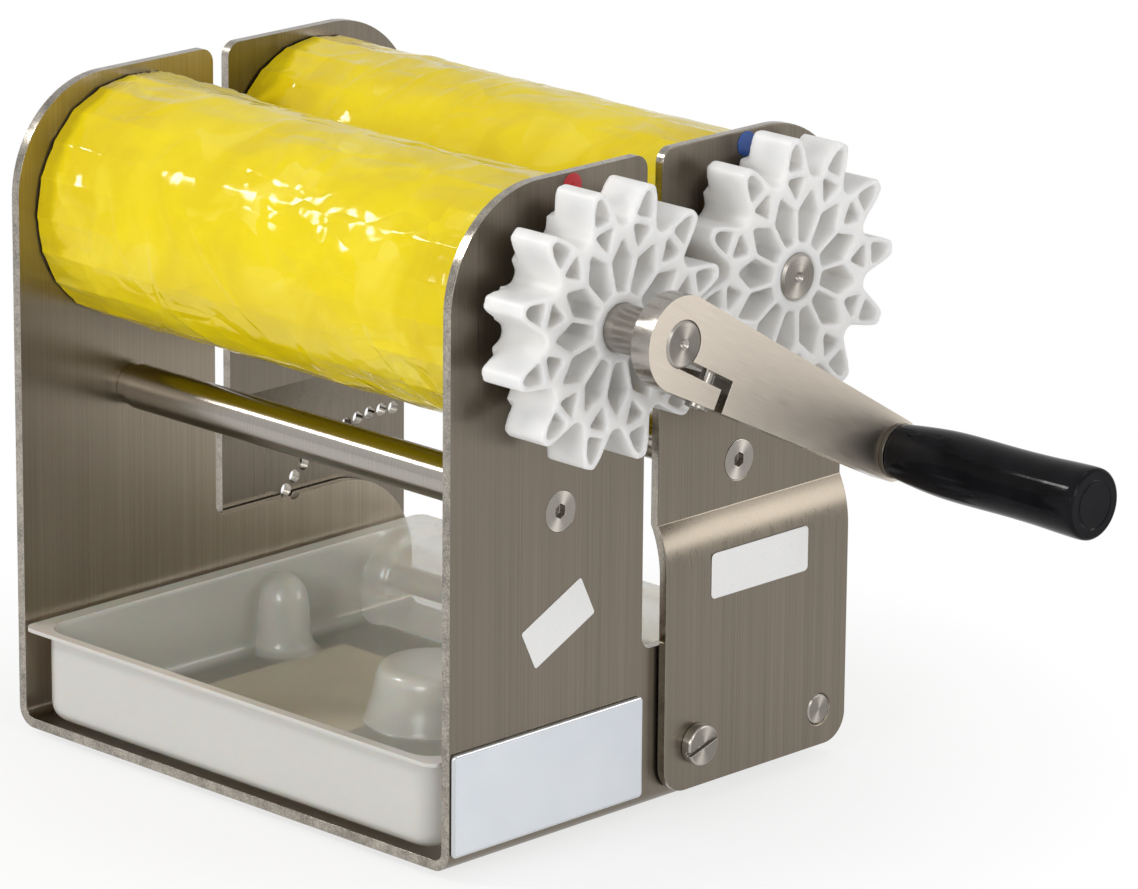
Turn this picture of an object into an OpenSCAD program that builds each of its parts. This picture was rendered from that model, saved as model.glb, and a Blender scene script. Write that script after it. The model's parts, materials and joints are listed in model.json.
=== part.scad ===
// Hand cranked meat press with two film covered rollers in a folded steel frame.
// X runs along the rollers towards the gears, Y from the open front to the rear, Z up.
// The origin is on the table, under the middle of the base. Heights named _h are
// measured from the underside of the base sheet, which stands on the rubber feet.

/* [Frame] */
// Reach of the front frame, from the middle of the slot to the front edge
front_depth = 105; // [98:1:130]
// Reach of the rear frame, from the middle of the slot to the rear edge
rear_depth = 105; // [102:1:130]
// Height of the plates' top edge over the roller axes
plate_over_axis = 51.5; // [49:0.5:60]
// Thickness of the steel sheet
sheet_t = 4; // [3:0.5:5]
// Width of the slot between front and rear plates
slot_w = 8; // [5:0.5:12]
// Height of the sill, the low rear part of the front frame's sides
sill_h = 64; // [58:1:80]
// Outer radius of the two bends beside the base
base_bend_r = 8; // [6:0.5:12]
// Radius of the large top corners
top_corner_r = 44; // [20:1:46]
// Radius of the small top corners beside the slot
slot_corner_r = 6; // [3:0.5:10]
// Radius in the corner at the bottom of the slot
sill_fillet_r = 5; // [2:0.5:7]
// Radius of the sill's rear corner
sill_corner_r = 40; // [20:1:50]
// Radius of the rear plates' bottom corners
rear_corner_r = 11; // [5:0.5:15]
// Height of the rear plates' lower edge
rear_edge_h = 5; // [3:0.5:10]
// Drop from the tie rods to the crease over the rear plates' joggle
joggle_drop = 17; // [14:1:20]
// Height of the joggle's round bend, up to the crease
joggle_rise = 20; // [16:1:24]
// Air between the sill and the rear plate beside it
sill_gap = 1; // [0.6:0.1:2]

/* [Feet] */
// Diameter of a rubber foot
foot_d = 22; // [12:1:30]
// Height of a rubber foot
foot_t = 3; // [2:0.5:8]
// Distance of the feet from the middle, across the machine
foot_x = 97; // [80:1:98]
// Distance of the feet from the middle, front to rear
foot_y = 88; // [60:1:90]

/* [Tie rods] */
// Diameter of a tie rod
tie_rod_d = 18; // [14:1:22]
// Distance of each tie rod from the middle of the slot
tie_rod_y = 48; // [40:1:60]
// Height of the tie rods
tie_rod_h = 128; // [120:1:150]
// Diameter of the turned down end of a tie rod
tie_neck_d = 16.5; // [13:0.5:17]
// Length of the turned down end
tie_neck_l = 5; // [2:0.5:10]
// Air between a tie rod and the film on the roller above it
tie_rod_gap = 20.1; // [5:0.1:40]
// Thread diameter of the screws in the tie rods
tie_screw_d = 8; // [6:1:8]
// Length of the screws in the tie rods
tie_screw_l = 20; // [12:1:30]
// Head diameter of the countersunk screws
tie_head_d = 16; // [14:0.5:16]
// Width of the hexagon socket
hex_w = 5; // [4:0.5:6]
// Depth of the hexagon socket
hex_deep = 3; // [2:0.5:4]

/* [Rollers] */
// Distance of each roller axis from the middle of the slot
roller_y = 49; // [49:0.5:54]
// Radius over the ribs of a roller
roller_r = 46.9; // [40:0.1:46.9]
// Number of ribs round a roller
rib_count = 20; // [12:1:30]
// Radius of a rib's round crest
rib_r = 3; // [2:0.1:3.5]
// Bore radius of the hollow roller
roller_bore_r = 36; // [25:1:38]
// Thickness of the film sleeve
film_t = 0.5; // [0.3:0.1:1]
// Thickness of the hub pressed into each end of a roller
hub_t = 12; // [8:1:20]
// Air between a roller's end and the side plate
roller_end_gap = 2; // [1.8:0.1:5]
// Diameter of the roller shafts
shaft_d = 18; // [14:1:18]
// Length of shaft that stands out of the left plate
shaft_stub = 4.5; // [4:0.5:10]
// Chamfer on the shaft ends
shaft_chamfer = 1; // [0.5:0.1:2]
// Outer diameter of the plain bushes in the plates
bush_d = 24; // [22:1:28]
// Diameter of a bush's inner flange
bush_flange_d = 30; // [28:1:34]
// Thickness of a bush's inner flange
bush_flange_t = 1.4; // [1:0.1:1.6]
// Diameter of the drive pins in hubs and gears
drive_pin_d = 4; // [3:0.5:4]

/* [Gears] */
// Number of teeth on each gear
gear_teeth = 12; // [12:1:12]
// Radius to the tips of the long teeth
gear_tip_r = 53; // [51:0.5:54]
// Width of the full teeth
gear_w = 20; // [15:1:25]
// Width of the low rear part of the teeth
gear_back_w = 4; // [2:0.5:6]
// Radius of the low rear part of the teeth
gear_back_r = 43; // [40:0.5:45]
// Depth of the cells in the gear's outer face
cell_deep = 14; // [8:1:15]
// Outer radius of the gear's hub ring
gear_hub_r = 13.5; // [12.5:0.5:15]
// Thickness of a spoke
spoke_t = 2; // [1.5:0.1:3]
// Length of the spacer behind the front gear
front_spacer_l = 7; // [6:0.5:9]
// Length of the spacer behind the rear gear
rear_spacer_l = 3.5; // [3:0.5:9]
// Diameter of the gear spacers
spacer_d = 26; // [24:1:30]
// Angle of the front gear's first tooth
front_gear_turn = 13; // [13:1:13]
// Angle of the rear gear's first tooth
rear_gear_turn = 2; // [2:1:2]

/* [Crank] */
// Distance from the shaft to the grip
crank_throw = 133; // [110:1:150]
// Slope of the arm at rest, in degrees above the horizontal
crank_slope = -28.6; // [-90:0.1:90]
// Thickness of the arm
crank_t = 9; // [8:0.5:12]
// Air between the front gear and the arm
crank_gap = 22; // [10:1:30]
// Radius of the arm's eye round the shaft
crank_eye_r = 18; // [17:0.5:20]
// Radius of the arm's end under the grip
crank_tip_r = 12; // [11:0.5:14]
// Width of the clamping slit
slit_w = 4.6; // [3:0.1:4.8]
// Distance of the slit's upper side below the shaft axis
slit_drop = 4.1; // [3.5:0.1:4.5]
// Distance from the shaft axis to the far end of the slit
slit_reach = 32.3; // [31:0.1:36]
// Thread diameter of the clamp screw
clamp_screw_d = 5; // [4:0.5:5]
// Distance of the clamp screw from the shaft axis
clamp_screw_u = 22.8; // [22:0.1:24]
// Head diameter of the clamp screw
clamp_head_d = 8.5; // [7:0.5:8.5]
// Head height of the clamp screw
clamp_head_t = 5; // [4:0.5:5]

/* [Grip] */
// Length of the grip
grip_l = 94; // [80:1:120]
// Radius of the grip at the arm
grip_base_r = 10.7; // [10:0.1:12]
// Radius of the grip's swelling
grip_swell_r = 13; // [11:0.1:15]
// Radius of the grip at its free end
grip_end_r = 13.8; // [12:0.1:16]
// Rounding of the grip's free end
grip_round_r = 3; // [1:0.1:4]
// Diameter of the bolt that the grip turns on
grip_bolt_d = 10; // [8:0.5:10]
// Head diameter of the grip bolt
grip_head_d = 16; // [14:0.5:17]
// Head height of the grip bolt
grip_head_t = 5; // [4:0.5:6]
// Thickness of the washer between the arm and the grip
grip_washer_t = 2; // [1:0.5:3]
// Thickness of the cap in the grip's end
grip_cap_t = 3; // [2:0.5:4]

/* [Gap adjustment] */
// Distance of the hinge axle behind the middle of the slot
axle_y = 90; // [88:0.5:92]
// Height of the hinge axle
axle_h = 19.8; // [19:0.1:21]
// Diameter of the axle's ends in the rear plates
axle_end_d = 12; // [10:0.5:12]
// Diameter of the axle between the plates
axle_d = 11; // [9:0.5:12]
// Diameter of the eccentric collars in the sill
eccentric_d = 16.5; // [16:0.5:18]
// Offset of the collars from the axle's own axis
eccentric_off = 2.1; // [1:0.1:2.5]
// Distance of the pivot screws behind the middle of the slot
pivot_y = 21; // [18:0.5:24]
// Height of the pivot screws
pivot_h = 22.6; // [20:0.1:25]
// Shank diameter of the pivot screws
pivot_d = 8; // [6:0.5:8]
// Head diameter of the pivot screws
pivot_head_d = 16; // [13:0.5:18]
// Head height of the pivot screws
pivot_head_t = 4.5; // [3:0.5:6]
// Width of the coin slot in a pivot screw
coin_slot_w = 1.8; // [1:0.1:2.5]
// Depth of the coin slot
coin_slot_deep = 2; // [1:0.5:2.5]
// Slope of the coin slots, in degrees
coin_slot_turn = 17; // [-90:1:90]
// Width across the flats of the pivot nuts
pivot_nut_w = 13; // [12:0.5:14]
// Height of the pivot nuts
pivot_nut_t = 5; // [3:0.5:5.5]
// Distance of the row of index holes from the axle
index_r = 68.3; // [66:0.1:69]
// Diameter of an index hole
index_hole_d = 5.6; // [4.5:0.1:6]
// Number of index holes
index_holes = 11; // [5:1:11]
// Angle from one index hole to the next
index_step_angle = 5.6; // [5.5:0.1:5.7]
// Angle of the foremost index hole
index_first_angle = 138.6; // [138:0.1:140]
// Number of holes from the foremost one to the lever at rest
index_rest = 4; // [4:1:4]
// Thickness of the gap lever
lever_t = 5; // [4:0.5:8]
// Radius of the gap lever's lower end
lever_foot_r = 14; // [12:0.5:16]
// Radius of the gap lever's upper end
lever_head_r = 11; // [9:0.5:13]
// Diameter of the index pin
index_pin_d = 5; // [3:0.1:5]
// Diameter of the index pin's knob
knob_d = 20; // [16:1:26]
// Length of the index pin's knob
knob_l = 14; // [10:1:20]

/* [Tray] */
// Length over the tray's flange
tray_flange_l = 216; // [208:1:220]
// Width of the tray below its flange
tray_w = 219; // [180:1:280]
// Flange width at the tray's sides
tray_side_flange = 4.5; // [2:0.5:6]
// Flange width at the tray's front and rear
tray_front_flange = 4; // [2:0.5:8]
// Air between the tray's wall and the side plate, with the flange in it
tray_side_gap = 6.5; // [6:0.5:12]
// Height of the tray's rim
tray_rim_h = 42; // [40:0.5:44]
// Thickness of the tray's wall
tray_t = 1.5; // [1:0.1:2]
// Radius of the tray's upright corners
tray_corner_r = 12; // [8:1:18]
// Radius between the tray's floor and walls
tray_floor_r = 8; // [4:0.5:10]
// Radius of the round posts in the tray's side walls
tray_post_r = 12; // [10:0.5:13]
// Reach of the round posts from the side walls into the tray
tray_post_reach = 19.5; // [14:0.5:22]
// Radius of the arch over the hinge axle
tray_arch_r = 18.5; // [14:0.5:20]
// Width of the arch's higher ends beside the side walls
arch_end_w = 11; // [5:0.5:20]
// Radius of the tray's middle boss at its foot
boss_foot_r = 28; // [24:0.5:32]
// Radius of the tray's middle boss at its top
boss_top_r = 22; // [16:0.5:24]
// Height of the middle boss's top
boss_top_h = 29; // [20:1:36]
// Distance of the middle boss behind the middle of the slot
boss_y = 4; // [-10:1:10]

/* [Labels] */
// Width of the large blank plate on the front frame
name_plate_w = 100; // [60:1:100]
// Height of the large blank plate
name_plate_l = 40; // [20:1:48]
// Thickness of the large blank plate
name_plate_t = 1.8; // [1:0.1:2]
// Height of the large plate's middle
name_plate_mid_h = 26.5; // [26:0.5:30]
// Width of the blank label on the rear plate
rear_label_w = 53.5; // [30:0.5:60]
// Height of the blank label on the rear plate
rear_label_l = 18; // [10:0.5:18]
// Length of the slanting blank label
slant_label_w = 34.5; // [20:0.5:36]
// Width of the slanting blank label
slant_label_l = 17; // [10:0.5:18]
// Slope of the slanting label, in degrees
slant_label_turn = 26; // [0:1:45]
// Thickness of the thin labels
label_t = 0.3; // [0.2:0.1:0.5]
// Diameter of the coloured dots
dot_d = 9.6; // [6:0.1:10]
// Width of the blank sticker on the base
sticker_w = 80; // [40:1:90]
// Length of the blank sticker on the base
sticker_l = 84; // [40:1:90]

/* [Hidden] */
$fn = 96;

// Air in a running fit, on the radius
run_gap = 0.05;
// Air between a fastener or pressed piece and its hole, on the radius
seat_gap = 0.05;
// Air between faces that turn past each other
face_gap = 0.3;
// How far a cut runs past the surface it opens
over = 1;
// Number of sides of a hexagon
hex_sides = 6;
// Where the straight sides of a tapered bar start, as a share of its end's radius
side_start_share = 0.997;

// Places of the plates
plate_in_x = tray_w / 2 + tray_side_gap;
plate_out_x = plate_in_x + sheet_t;
low_in_x = plate_out_x + sill_gap;
low_out_x = low_in_x + sheet_t;
slot_half = slot_w / 2;
film_r = roller_r + film_t;
roller_h = tie_rod_h + tie_rod_d / 2 + tie_rod_gap + film_r;
frame_h = roller_h + plate_over_axis;
joggle_top_h = tie_rod_h - joggle_drop;
joggle_low_h = joggle_top_h - joggle_rise;
joggle_angle = 2 * atan((sheet_t + sill_gap) / joggle_rise);
joggle_bend_r = joggle_rise / sin(joggle_angle);
joggle_steps = 8;

// Rollers and shafts
roller_end_x = plate_in_x - roller_end_gap;
shaft_r = shaft_d / 2;
shaft_left_x = -plate_out_x - shaft_stub;
ring_t = 1.2;
ring_x = -plate_out_x - face_gap - ring_t;
ring_r = 12.5;
groove_r = shaft_r - 0.5 * ring_t;
front_gear_x = plate_out_x + front_spacer_l;
rear_gear_x = plate_out_x + rear_spacer_l;
gear_l = gear_back_w + gear_w;
arm_in_x = front_gear_x + gear_l + crank_gap;
arm_out_x = arm_in_x + crank_t;
front_shaft_end_x = arm_out_x + 0.5 * shaft_chamfer;
rear_shaft_end_x = rear_gear_x + gear_l + 0.5 * shaft_chamfer;
drive_pin_r = drive_pin_d / 2;
drive_pin_inset = 1.5;
gear_pin_x = 0.5 * (gear_l - cell_deep);
gear_pin_half = gear_hub_r - drive_pin_inset;

// Tooth outline: radius as a share of the tip radius, and the half width as a
// share of half the angle from tooth to tooth
tooth_shares = [
    [0.717, 1], [0.726, 0.767], [0.774, 0.62], [0.83, 0.507],
    [0.906, 0.373], [0.962, 0.26], [0.99, 0.19], [1, 0.12]
];
// Hollow inside a tooth, in the same shares
hollow_shares = [[0.78, 0.41], [0.83, 0.32], [0.906, 0.207], [0.955, 0.07]];
// Three cornered cell under a tooth, in the same shares
fork_shares = [[0.547, 0], [0.722, 0.52]];
// Cell between two spokes: shoulder and apex radius, in the same shares
gap_cell_shares = [0.481, 0.634];

// Crank and grip
clamp_screw_l = 22;
clamp_hex_w = 4;
clamp_head_stand = 1.4;
grip_thread_d = 8;
grip_x = arm_out_x + grip_washer_t;
grip_end_x = grip_x + grip_l;
grip_head_x = grip_end_x - grip_cap_t - grip_head_t - 2 * face_gap;
// Places along the grip and how far it has swollen there, as shares
grip_shares = [
    [0, 0], [0.04, 0.12], [0.1, 0.4], [0.17, 0.7], [0.25, 0.92], [0.34, 1],
    [0.45, 0.98], [0.56, 0.94], [0.66, 0.96], [0.76, 1.05]
];
rim_steps = 6;

// Gap adjustment
eccentric_r = eccentric_d / 2;
eccentric_play = 0.1;
eccentric_travel = 0.5;
lever_turn = index_first_angle - index_rest * index_step_angle;
lever_gap = 1;
lever_in_x = low_out_x + lever_gap;
lever_out_x = lever_in_x + lever_t;
pivot_r = pivot_d / 2;
washer_play = 0.1;
pivot_washer_d = 20;
index_bush_d = 10;
index_bush_l = 6;
index_bush_step = 1;
index_tip_gap = 0.3;
index_travel = sheet_t;
knob_x = -lever_out_x - index_bush_l - index_travel - face_gap - knob_l;
lever_screw_d = 6;
lever_screw_l = 14;
lever_washer_d = 18;
lever_washer_t = 1.5;
lever_head_d = 10;
lever_head_t = 5;
axle_chamfer = 0.6;

// Tray
tray_under_h = sheet_t + face_gap;
tray_front_y = -tray_flange_l / 2 + tray_front_flange;
tray_rear_y = tray_flange_l / 2 - tray_front_flange;
arch_end_r = tray_rim_h - axle_h;
post_drop = 1.5;
post_top_h = tray_rim_h - tray_t - tray_post_r - post_drop;
post_x = tray_w / 2 - tray_post_reach + tray_post_r;
flange_corner_r = 6;

// Labels
name_plate_y = -slot_half - (front_depth - slot_half) / 2;
rear_label_y = 55;
rear_label_over = 5;
rear_label_mid_h = joggle_low_h + rear_label_over - rear_label_l / 2;
slant_label_y = -49;
slant_label_mid_h = 85;
dot_drop = 5.3;
dot_mid_h = frame_h - dot_drop;
front_dot_y = -43.6;
rear_dot_y = 48.9;
label_corner_r = 2;
sticker_x = -55;
sticker_y = 4;
sticker_t = 0.15;

module on_feet() {
    translate([0, 0, foot_t]) children();
}

module both_sides() {
    children();
    mirror([1, 0, 0]) children();
}

// Extrudes an outline drawn in Y and Z from x_from to x_to
module across(x_from, x_to) {
    translate([x_from, 0, 0]) rotate([90, 0, 90]) linear_extrude(height = x_to - x_from) children();
}

// Extrudes an outline drawn in X and Z from y_from to y_to
module lengthwise(y_from, y_to) {
    translate([0, y_to, 0]) rotate([90, 0, 0]) linear_extrude(height = y_to - y_from) children();
}

// Round bar along X
module bar(x_from, x_to, r) {
    translate([x_from, 0, 0]) rotate([0, 90, 0]) cylinder(h = x_to - x_from, r = r);
}

// Cone along X
module taper(x_from, x_to, r_from, r_to) {
    translate([x_from, 0, 0]) rotate([0, 90, 0]) cylinder(h = x_to - x_from, r1 = r_from, r2 = r_to);
}

// Round bar along X with a chamfer at its far end
module chamfered_bar(x_from, x_to, r, chamfer) {
    bar(x_from, x_to - chamfer, r);
    taper(x_to - chamfer, x_to, r, r - chamfer);
}

// Corner radius of a hexagon with this width across its flats
function hex_r(flat_w) = flat_w / (2 * cos(30));

module at_yz(y, z) {
    translate([0, y, z]) children();
}

// Rectangle with its own radius at each corner: low left, low right, high right, high left
module rounded_outline(x0, x1, y0, y1, radii) {
    a = radii[0];
    b = radii[1];
    c = radii[2];
    d = radii[3];
    polygon(concat(
        a > 0 ? [[x0, y0 + a], [x0 + a, y0]] : [[x0, y0]],
        b > 0 ? [[x1 - b, y0], [x1, y0 + b]] : [[x1, y0]],
        c > 0 ? [[x1, y1 - c], [x1 - c, y1]] : [[x1, y1]],
        d > 0 ? [[x0 + d, y1], [x0, y1 - d]] : [[x0, y1]]
    ));
    if (a > 0) translate([x0 + a, y0 + a]) circle(r = a);
    if (b > 0) translate([x1 - b, y0 + b]) circle(r = b);
    if (c > 0) translate([x1 - c, y1 - c]) circle(r = c);
    if (d > 0) translate([x0 + d, y1 - d]) circle(r = d);
}

// Bar with round ends between two centres on the outline's x axis. Its sides start
// just inside the round ends, so that they cross the circles and don't only touch them.
module tapered_outline(r_near, r_far, reach) {
    tilt = asin((r_near - r_far) / reach);
    near = side_start_share * r_near;
    far = side_start_share * r_far;
    circle(r = r_near);
    translate([reach, 0]) circle(r = r_far);
    polygon([
        [near * sin(tilt), near * cos(tilt)],
        [near * sin(tilt), -near * cos(tilt)],
        [reach + far * sin(tilt), -far * cos(tilt)],
        [reach + far * sin(tilt), far * cos(tilt)]
    ]);
}

// Places

module at_front_roller() {
    on_feet() at_yz(-roller_y, roller_h) children();
}

module at_rear_roller() {
    on_feet() at_yz(roller_y, roller_h) children();
}

module at_axle() {
    on_feet() at_yz(axle_y, axle_h) children();
}

module at_pivot() {
    on_feet() at_yz(pivot_y, pivot_h) children();
}

module at_index(angle) {
    at_yz(axle_y + index_r * cos(angle), axle_h + index_r * sin(angle)) children();
}

// The crank's own frame: Y along the arm, Z across it, X along the shaft
module at_crank() {
    at_front_roller() rotate([crank_slope, 0, 0]) children();
}

// Frame

module front_side_outline() {
    sill_r = min(sill_corner_r, sill_h - base_bend_r);
    rounded_outline(-front_depth, -slot_half, 0, frame_h, [0, 0, slot_corner_r, top_corner_r]);
    rounded_outline(-front_depth, rear_depth, 0, sill_h, [0, 0, sill_r, 0]);
    translate([-slot_half, sill_h]) difference() {
        square(sill_fillet_r);
        translate([sill_fillet_r, sill_fillet_r]) circle(r = sill_fillet_r);
    }
}

module front_section() {
    bend_in_r = base_bend_r - sheet_t;
    difference() {
        rounded_outline(-plate_out_x, plate_out_x, 0, frame_h, [base_bend_r, base_bend_r, 0, 0]);
        rounded_outline(-plate_in_x, plate_in_x, sheet_t, frame_h + over, [bend_in_r, bend_in_r, 0, 0]);
    }
}

module countersink() {
    bar(plate_in_x - over, plate_out_x + over, tie_screw_d / 2 + seat_gap);
    taper(plate_in_x, plate_out_x, tie_screw_d / 2 + seat_gap, tie_head_d / 2 + seat_gap);
}

// The collar slides a little to the rear as it turns, so its hole is a short slot
module eccentric_slot() {
    slot_r = eccentric_r + eccentric_play;
    at_yz(axle_y - eccentric_off, axle_h) {
        bar(plate_in_x - over, plate_out_x + over, slot_r);
        translate([0, eccentric_travel, 0]) bar(plate_in_x - over, plate_out_x + over, slot_r);
        translate([plate_in_x - over, 0, -slot_r])
            cube([sheet_t + 2 * over, eccentric_travel, 2 * slot_r]);
    }
}

module front_frame() {
    color("#9c9488") on_feet() difference() {
        intersection() {
            across(-plate_out_x, plate_out_x) front_side_outline();
            lengthwise(-front_depth, rear_depth) front_section();
        }
        both_sides() {
            at_yz(-roller_y, roller_h)
                bar(plate_in_x - over, plate_out_x + over, bush_d / 2 + seat_gap);
            at_yz(-tie_rod_y, tie_rod_h) countersink();
            at_yz(pivot_y, pivot_h)
                bar(plate_in_x - over, plate_out_x + over, pivot_r + seat_gap);
            eccentric_slot();
        }
        at_index(index_first_angle)
            bar(-plate_out_x - over, -plate_in_x + over, index_hole_d / 2 + eccentric_play);
    }
}

module rear_side_outline() {
    r = rear_corner_r;
    rounded_outline(slot_half, rear_depth, rear_edge_h, frame_h, [r, r, top_corner_r, slot_corner_r]);
}

// Point i of the joggle's bend, on the face that lies at low_x below it
function joggle_point(low_x, i) =
    let (angle = i * joggle_angle / joggle_steps)
        [low_x - joggle_bend_r * (1 - cos(angle)), joggle_low_h + joggle_bend_r * sin(angle)];

module rear_section() {
    polygon(concat(
        [[low_in_x, 0], [low_out_x, 0]],
        [for (i = [0 : joggle_steps]) joggle_point(low_out_x, i)],
        [[plate_out_x, frame_h + over], [plate_in_x, frame_h + over]],
        [for (i = [joggle_steps : -1 : 0]) joggle_point(low_in_x, i)]
    ));
}

module rear_plate() {
    difference() {
        intersection() {
            across(plate_in_x, low_out_x) rear_side_outline();
            lengthwise(slot_half, rear_depth) rear_section();
        }
        at_yz(roller_y, roller_h)
            bar(plate_in_x - over, plate_out_x + over, bush_d / 2 + seat_gap);
        at_yz(tie_rod_y, tie_rod_h) countersink();
        at_yz(pivot_y, pivot_h)
            bar(low_in_x - over, low_out_x + over, pivot_r + run_gap);
        at_yz(axle_y, axle_h) {
            bar(low_in_x - over, low_out_x + over, axle_end_d / 2 + run_gap);
            taper(low_out_x - axle_chamfer, low_out_x, axle_end_d / 2 + run_gap,
                axle_end_d / 2 + run_gap + axle_chamfer);
        }
    }
}

module rear_plate_right() {
    color("#9c9488") on_feet() rear_plate();
}

module rear_plate_left() {
    color("#9c9488") on_feet() difference() {
        mirror([1, 0, 0]) rear_plate();
        for (i = [0 : index_holes - 1])
            at_index(index_first_angle - i * index_step_angle)
                bar(-low_out_x - over, -low_in_x + over, index_hole_d / 2);
    }
}

module rubber_feet() {
    color("#24221f") both_sides()
        for (side = [-1, 1])
            translate([foot_x, side * foot_y, 0]) cylinder(h = foot_t, r = foot_d / 2);
}

// Tie rods

module tie_rod() {
    thread_l = tie_screw_l - sheet_t + over;
    difference() {
        union() {
            bar(-plate_in_x, plate_in_x, tie_neck_d / 2);
            bar(-plate_in_x + tie_neck_l, plate_in_x - tie_neck_l, tie_rod_d / 2);
        }
        both_sides() bar(plate_in_x - thread_l, plate_in_x + over, tie_screw_d / 2 + seat_gap);
    }
}

module tie_screw() {
    difference() {
        union() {
            bar(plate_out_x - tie_screw_l, plate_out_x, tie_screw_d / 2);
            taper(plate_in_x, plate_out_x, tie_screw_d / 2, tie_head_d / 2);
        }
        translate([plate_out_x - hex_deep, 0, 0]) rotate([0, 90, 0])
            cylinder(h = hex_deep + over, r = hex_r(hex_w), $fn = hex_sides);
    }
}

module front_tie_rod() {
    color("#b5afa4") on_feet() at_yz(-tie_rod_y, tie_rod_h) tie_rod();
}

module rear_tie_rod() {
    color("#b5afa4") on_feet() at_yz(tie_rod_y, tie_rod_h) tie_rod();
}

module front_tie_screws() {
    color("#a8a297") on_feet() at_yz(-tie_rod_y, tie_rod_h) both_sides() tie_screw();
}

module rear_tie_screws() {
    color("#a8a297") on_feet() at_yz(tie_rod_y, tie_rod_h) both_sides() tie_screw();
}

// Bushes, shafts and rollers

module bush() {
    difference() {
        union() {
            bar(plate_in_x - bush_flange_t, plate_in_x, bush_flange_d / 2);
            bar(plate_in_x, plate_out_x, bush_d / 2);
        }
        bar(plate_in_x - bush_flange_t - over, plate_out_x + over, shaft_r + run_gap);
    }
}

module front_bushes() {
    color("#e8e6e0") at_front_roller() both_sides() bush();
}

module rear_bushes() {
    color("#e8e6e0") at_rear_roller() both_sides() bush();
}

module cross_pin_hole(x, reach) {
    translate([x, 0, -reach]) cylinder(h = 2 * reach, r = drive_pin_r + seat_gap);
}

module shaft(end_x, gear_x) {
    centre_r = 2.2;
    difference() {
        union() {
            chamfered_bar(0, end_x, shaft_r, shaft_chamfer);
            mirror([1, 0, 0]) chamfered_bar(0, -shaft_left_x, shaft_r, shaft_chamfer);
        }
        difference() {
            bar(ring_x, ring_x + ring_t, shaft_r + over);
            bar(ring_x - over, ring_x + ring_t + over, groove_r);
        }
        taper(end_x - centre_r, end_x, 0, centre_r);
        both_sides() cross_pin_hole(roller_end_x - hub_t / 2, shaft_d);
        cross_pin_hole(gear_x + gear_pin_x, shaft_d);
    }
}

module front_shaft() {
    color("#bcb7ad") at_front_roller() rotate([crank_slope, 0, 0])
        shaft(front_shaft_end_x, front_gear_x);
}

module rear_shaft() {
    color("#bcb7ad") at_rear_roller() shaft(rear_shaft_end_x, rear_gear_x);
}

module roller() {
    difference() {
        across(-roller_end_x, roller_end_x) {
            circle(r = roller_r - rib_r);
            for (i = [0 : rib_count - 1])
                rotate(i * 360 / rib_count) translate([roller_r - rib_r, 0]) circle(r = rib_r);
        }
        bar(-roller_end_x - over, roller_end_x + over, roller_bore_r);
    }
}

module roller_hub() {
    difference() {
        bar(roller_end_x - hub_t, roller_end_x, roller_bore_r - seat_gap);
        bar(roller_end_x - hub_t - over, roller_end_x + over, shaft_r + seat_gap);
        cross_pin_hole(roller_end_x - hub_t / 2, roller_bore_r - hub_t / 2);
    }
}

module roller_pin() {
    pin_half = shaft_d;
    translate([roller_end_x - hub_t / 2, 0, -pin_half]) cylinder(h = 2 * pin_half, r = drive_pin_r);
}

module film() {
    difference() {
        bar(-roller_end_x, roller_end_x, film_r);
        bar(-roller_end_x - over, roller_end_x + over, roller_r + seat_gap);
    }
}

module front_roller() {
    color("#e9e4d6") at_front_roller() rotate([crank_slope, 0, 0]) roller();
}

module rear_roller() {
    color("#e9e4d6") at_rear_roller() roller();
}

module front_roller_hubs() {
    color("#dedad0") at_front_roller() rotate([crank_slope, 0, 0]) both_sides() roller_hub();
}

module rear_roller_hubs() {
    color("#dedad0") at_rear_roller() both_sides() roller_hub();
}

module front_roller_pins() {
    color("#8f8b84") at_front_roller() rotate([crank_slope, 0, 0]) both_sides() roller_pin();
}

module rear_roller_pins() {
    color("#8f8b84") at_rear_roller() both_sides() roller_pin();
}

module front_film() {
    color("#f2d312") at_front_roller() film();
}

module rear_film() {
    color("#f2d312") at_rear_roller() film();
}

module retaining_ring() {
    gap_half = 4;
    difference() {
        bar(ring_x, ring_x + ring_t, ring_r);
        bar(ring_x - over, ring_x + ring_t + over, groove_r + seat_gap);
        translate([ring_x - over, -gap_half, 0])
            cube([ring_t + 2 * over, 2 * gap_half, ring_r + over]);
    }
}

module front_retaining_ring() {
    color("#6f6b66") at_front_roller() retaining_ring();
}

module rear_retaining_ring() {
    color("#6f6b66") at_rear_roller() retaining_ring();
}

// Gears

module gear_spacer(gear_x) {
    difference() {
        bar(plate_out_x + face_gap, gear_x, spacer_d / 2);
        bar(plate_out_x, gear_x + over, shaft_r + seat_gap);
    }
}

module front_gear_spacer() {
    color("#eceae4") at_front_roller() gear_spacer(front_gear_x);
}

module rear_gear_spacer() {
    color("#eceae4") at_rear_roller() gear_spacer(rear_gear_x);
}

function half_pitch() = 180 / gear_teeth;

function polar(r, angle) = [r * cos(angle), r * sin(angle)];

// Point of a tooth outline: side is -1 or 1
function tooth_point(share, mid, side) =
    polar(share[0] * gear_tip_r, mid + side * share[1] * half_pitch());

function gear_points() = [
    for (k = [0 : gear_teeth - 1])
        let (mid = 2 * k * half_pitch(), last = len(tooth_shares) - 1)
            for (i = [0 : 2 * last])
                i <= last
                    ? tooth_point(tooth_shares[i], mid, -1)
                    : tooth_point(tooth_shares[2 * last + 1 - i], mid, 1)
];

function mirrored_points(shares, mid) = concat(
    [for (share = shares) tooth_point(share, mid, -1)],
    [for (i = [len(shares) - 1 : -1 : 0]) if (shares[i][1] > 0) tooth_point(shares[i], mid, 1)]
);

// Angle from a spoke's middle to its side at radius r
function spoke_angle(r) = asin(spoke_t / (2 * r));

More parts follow.
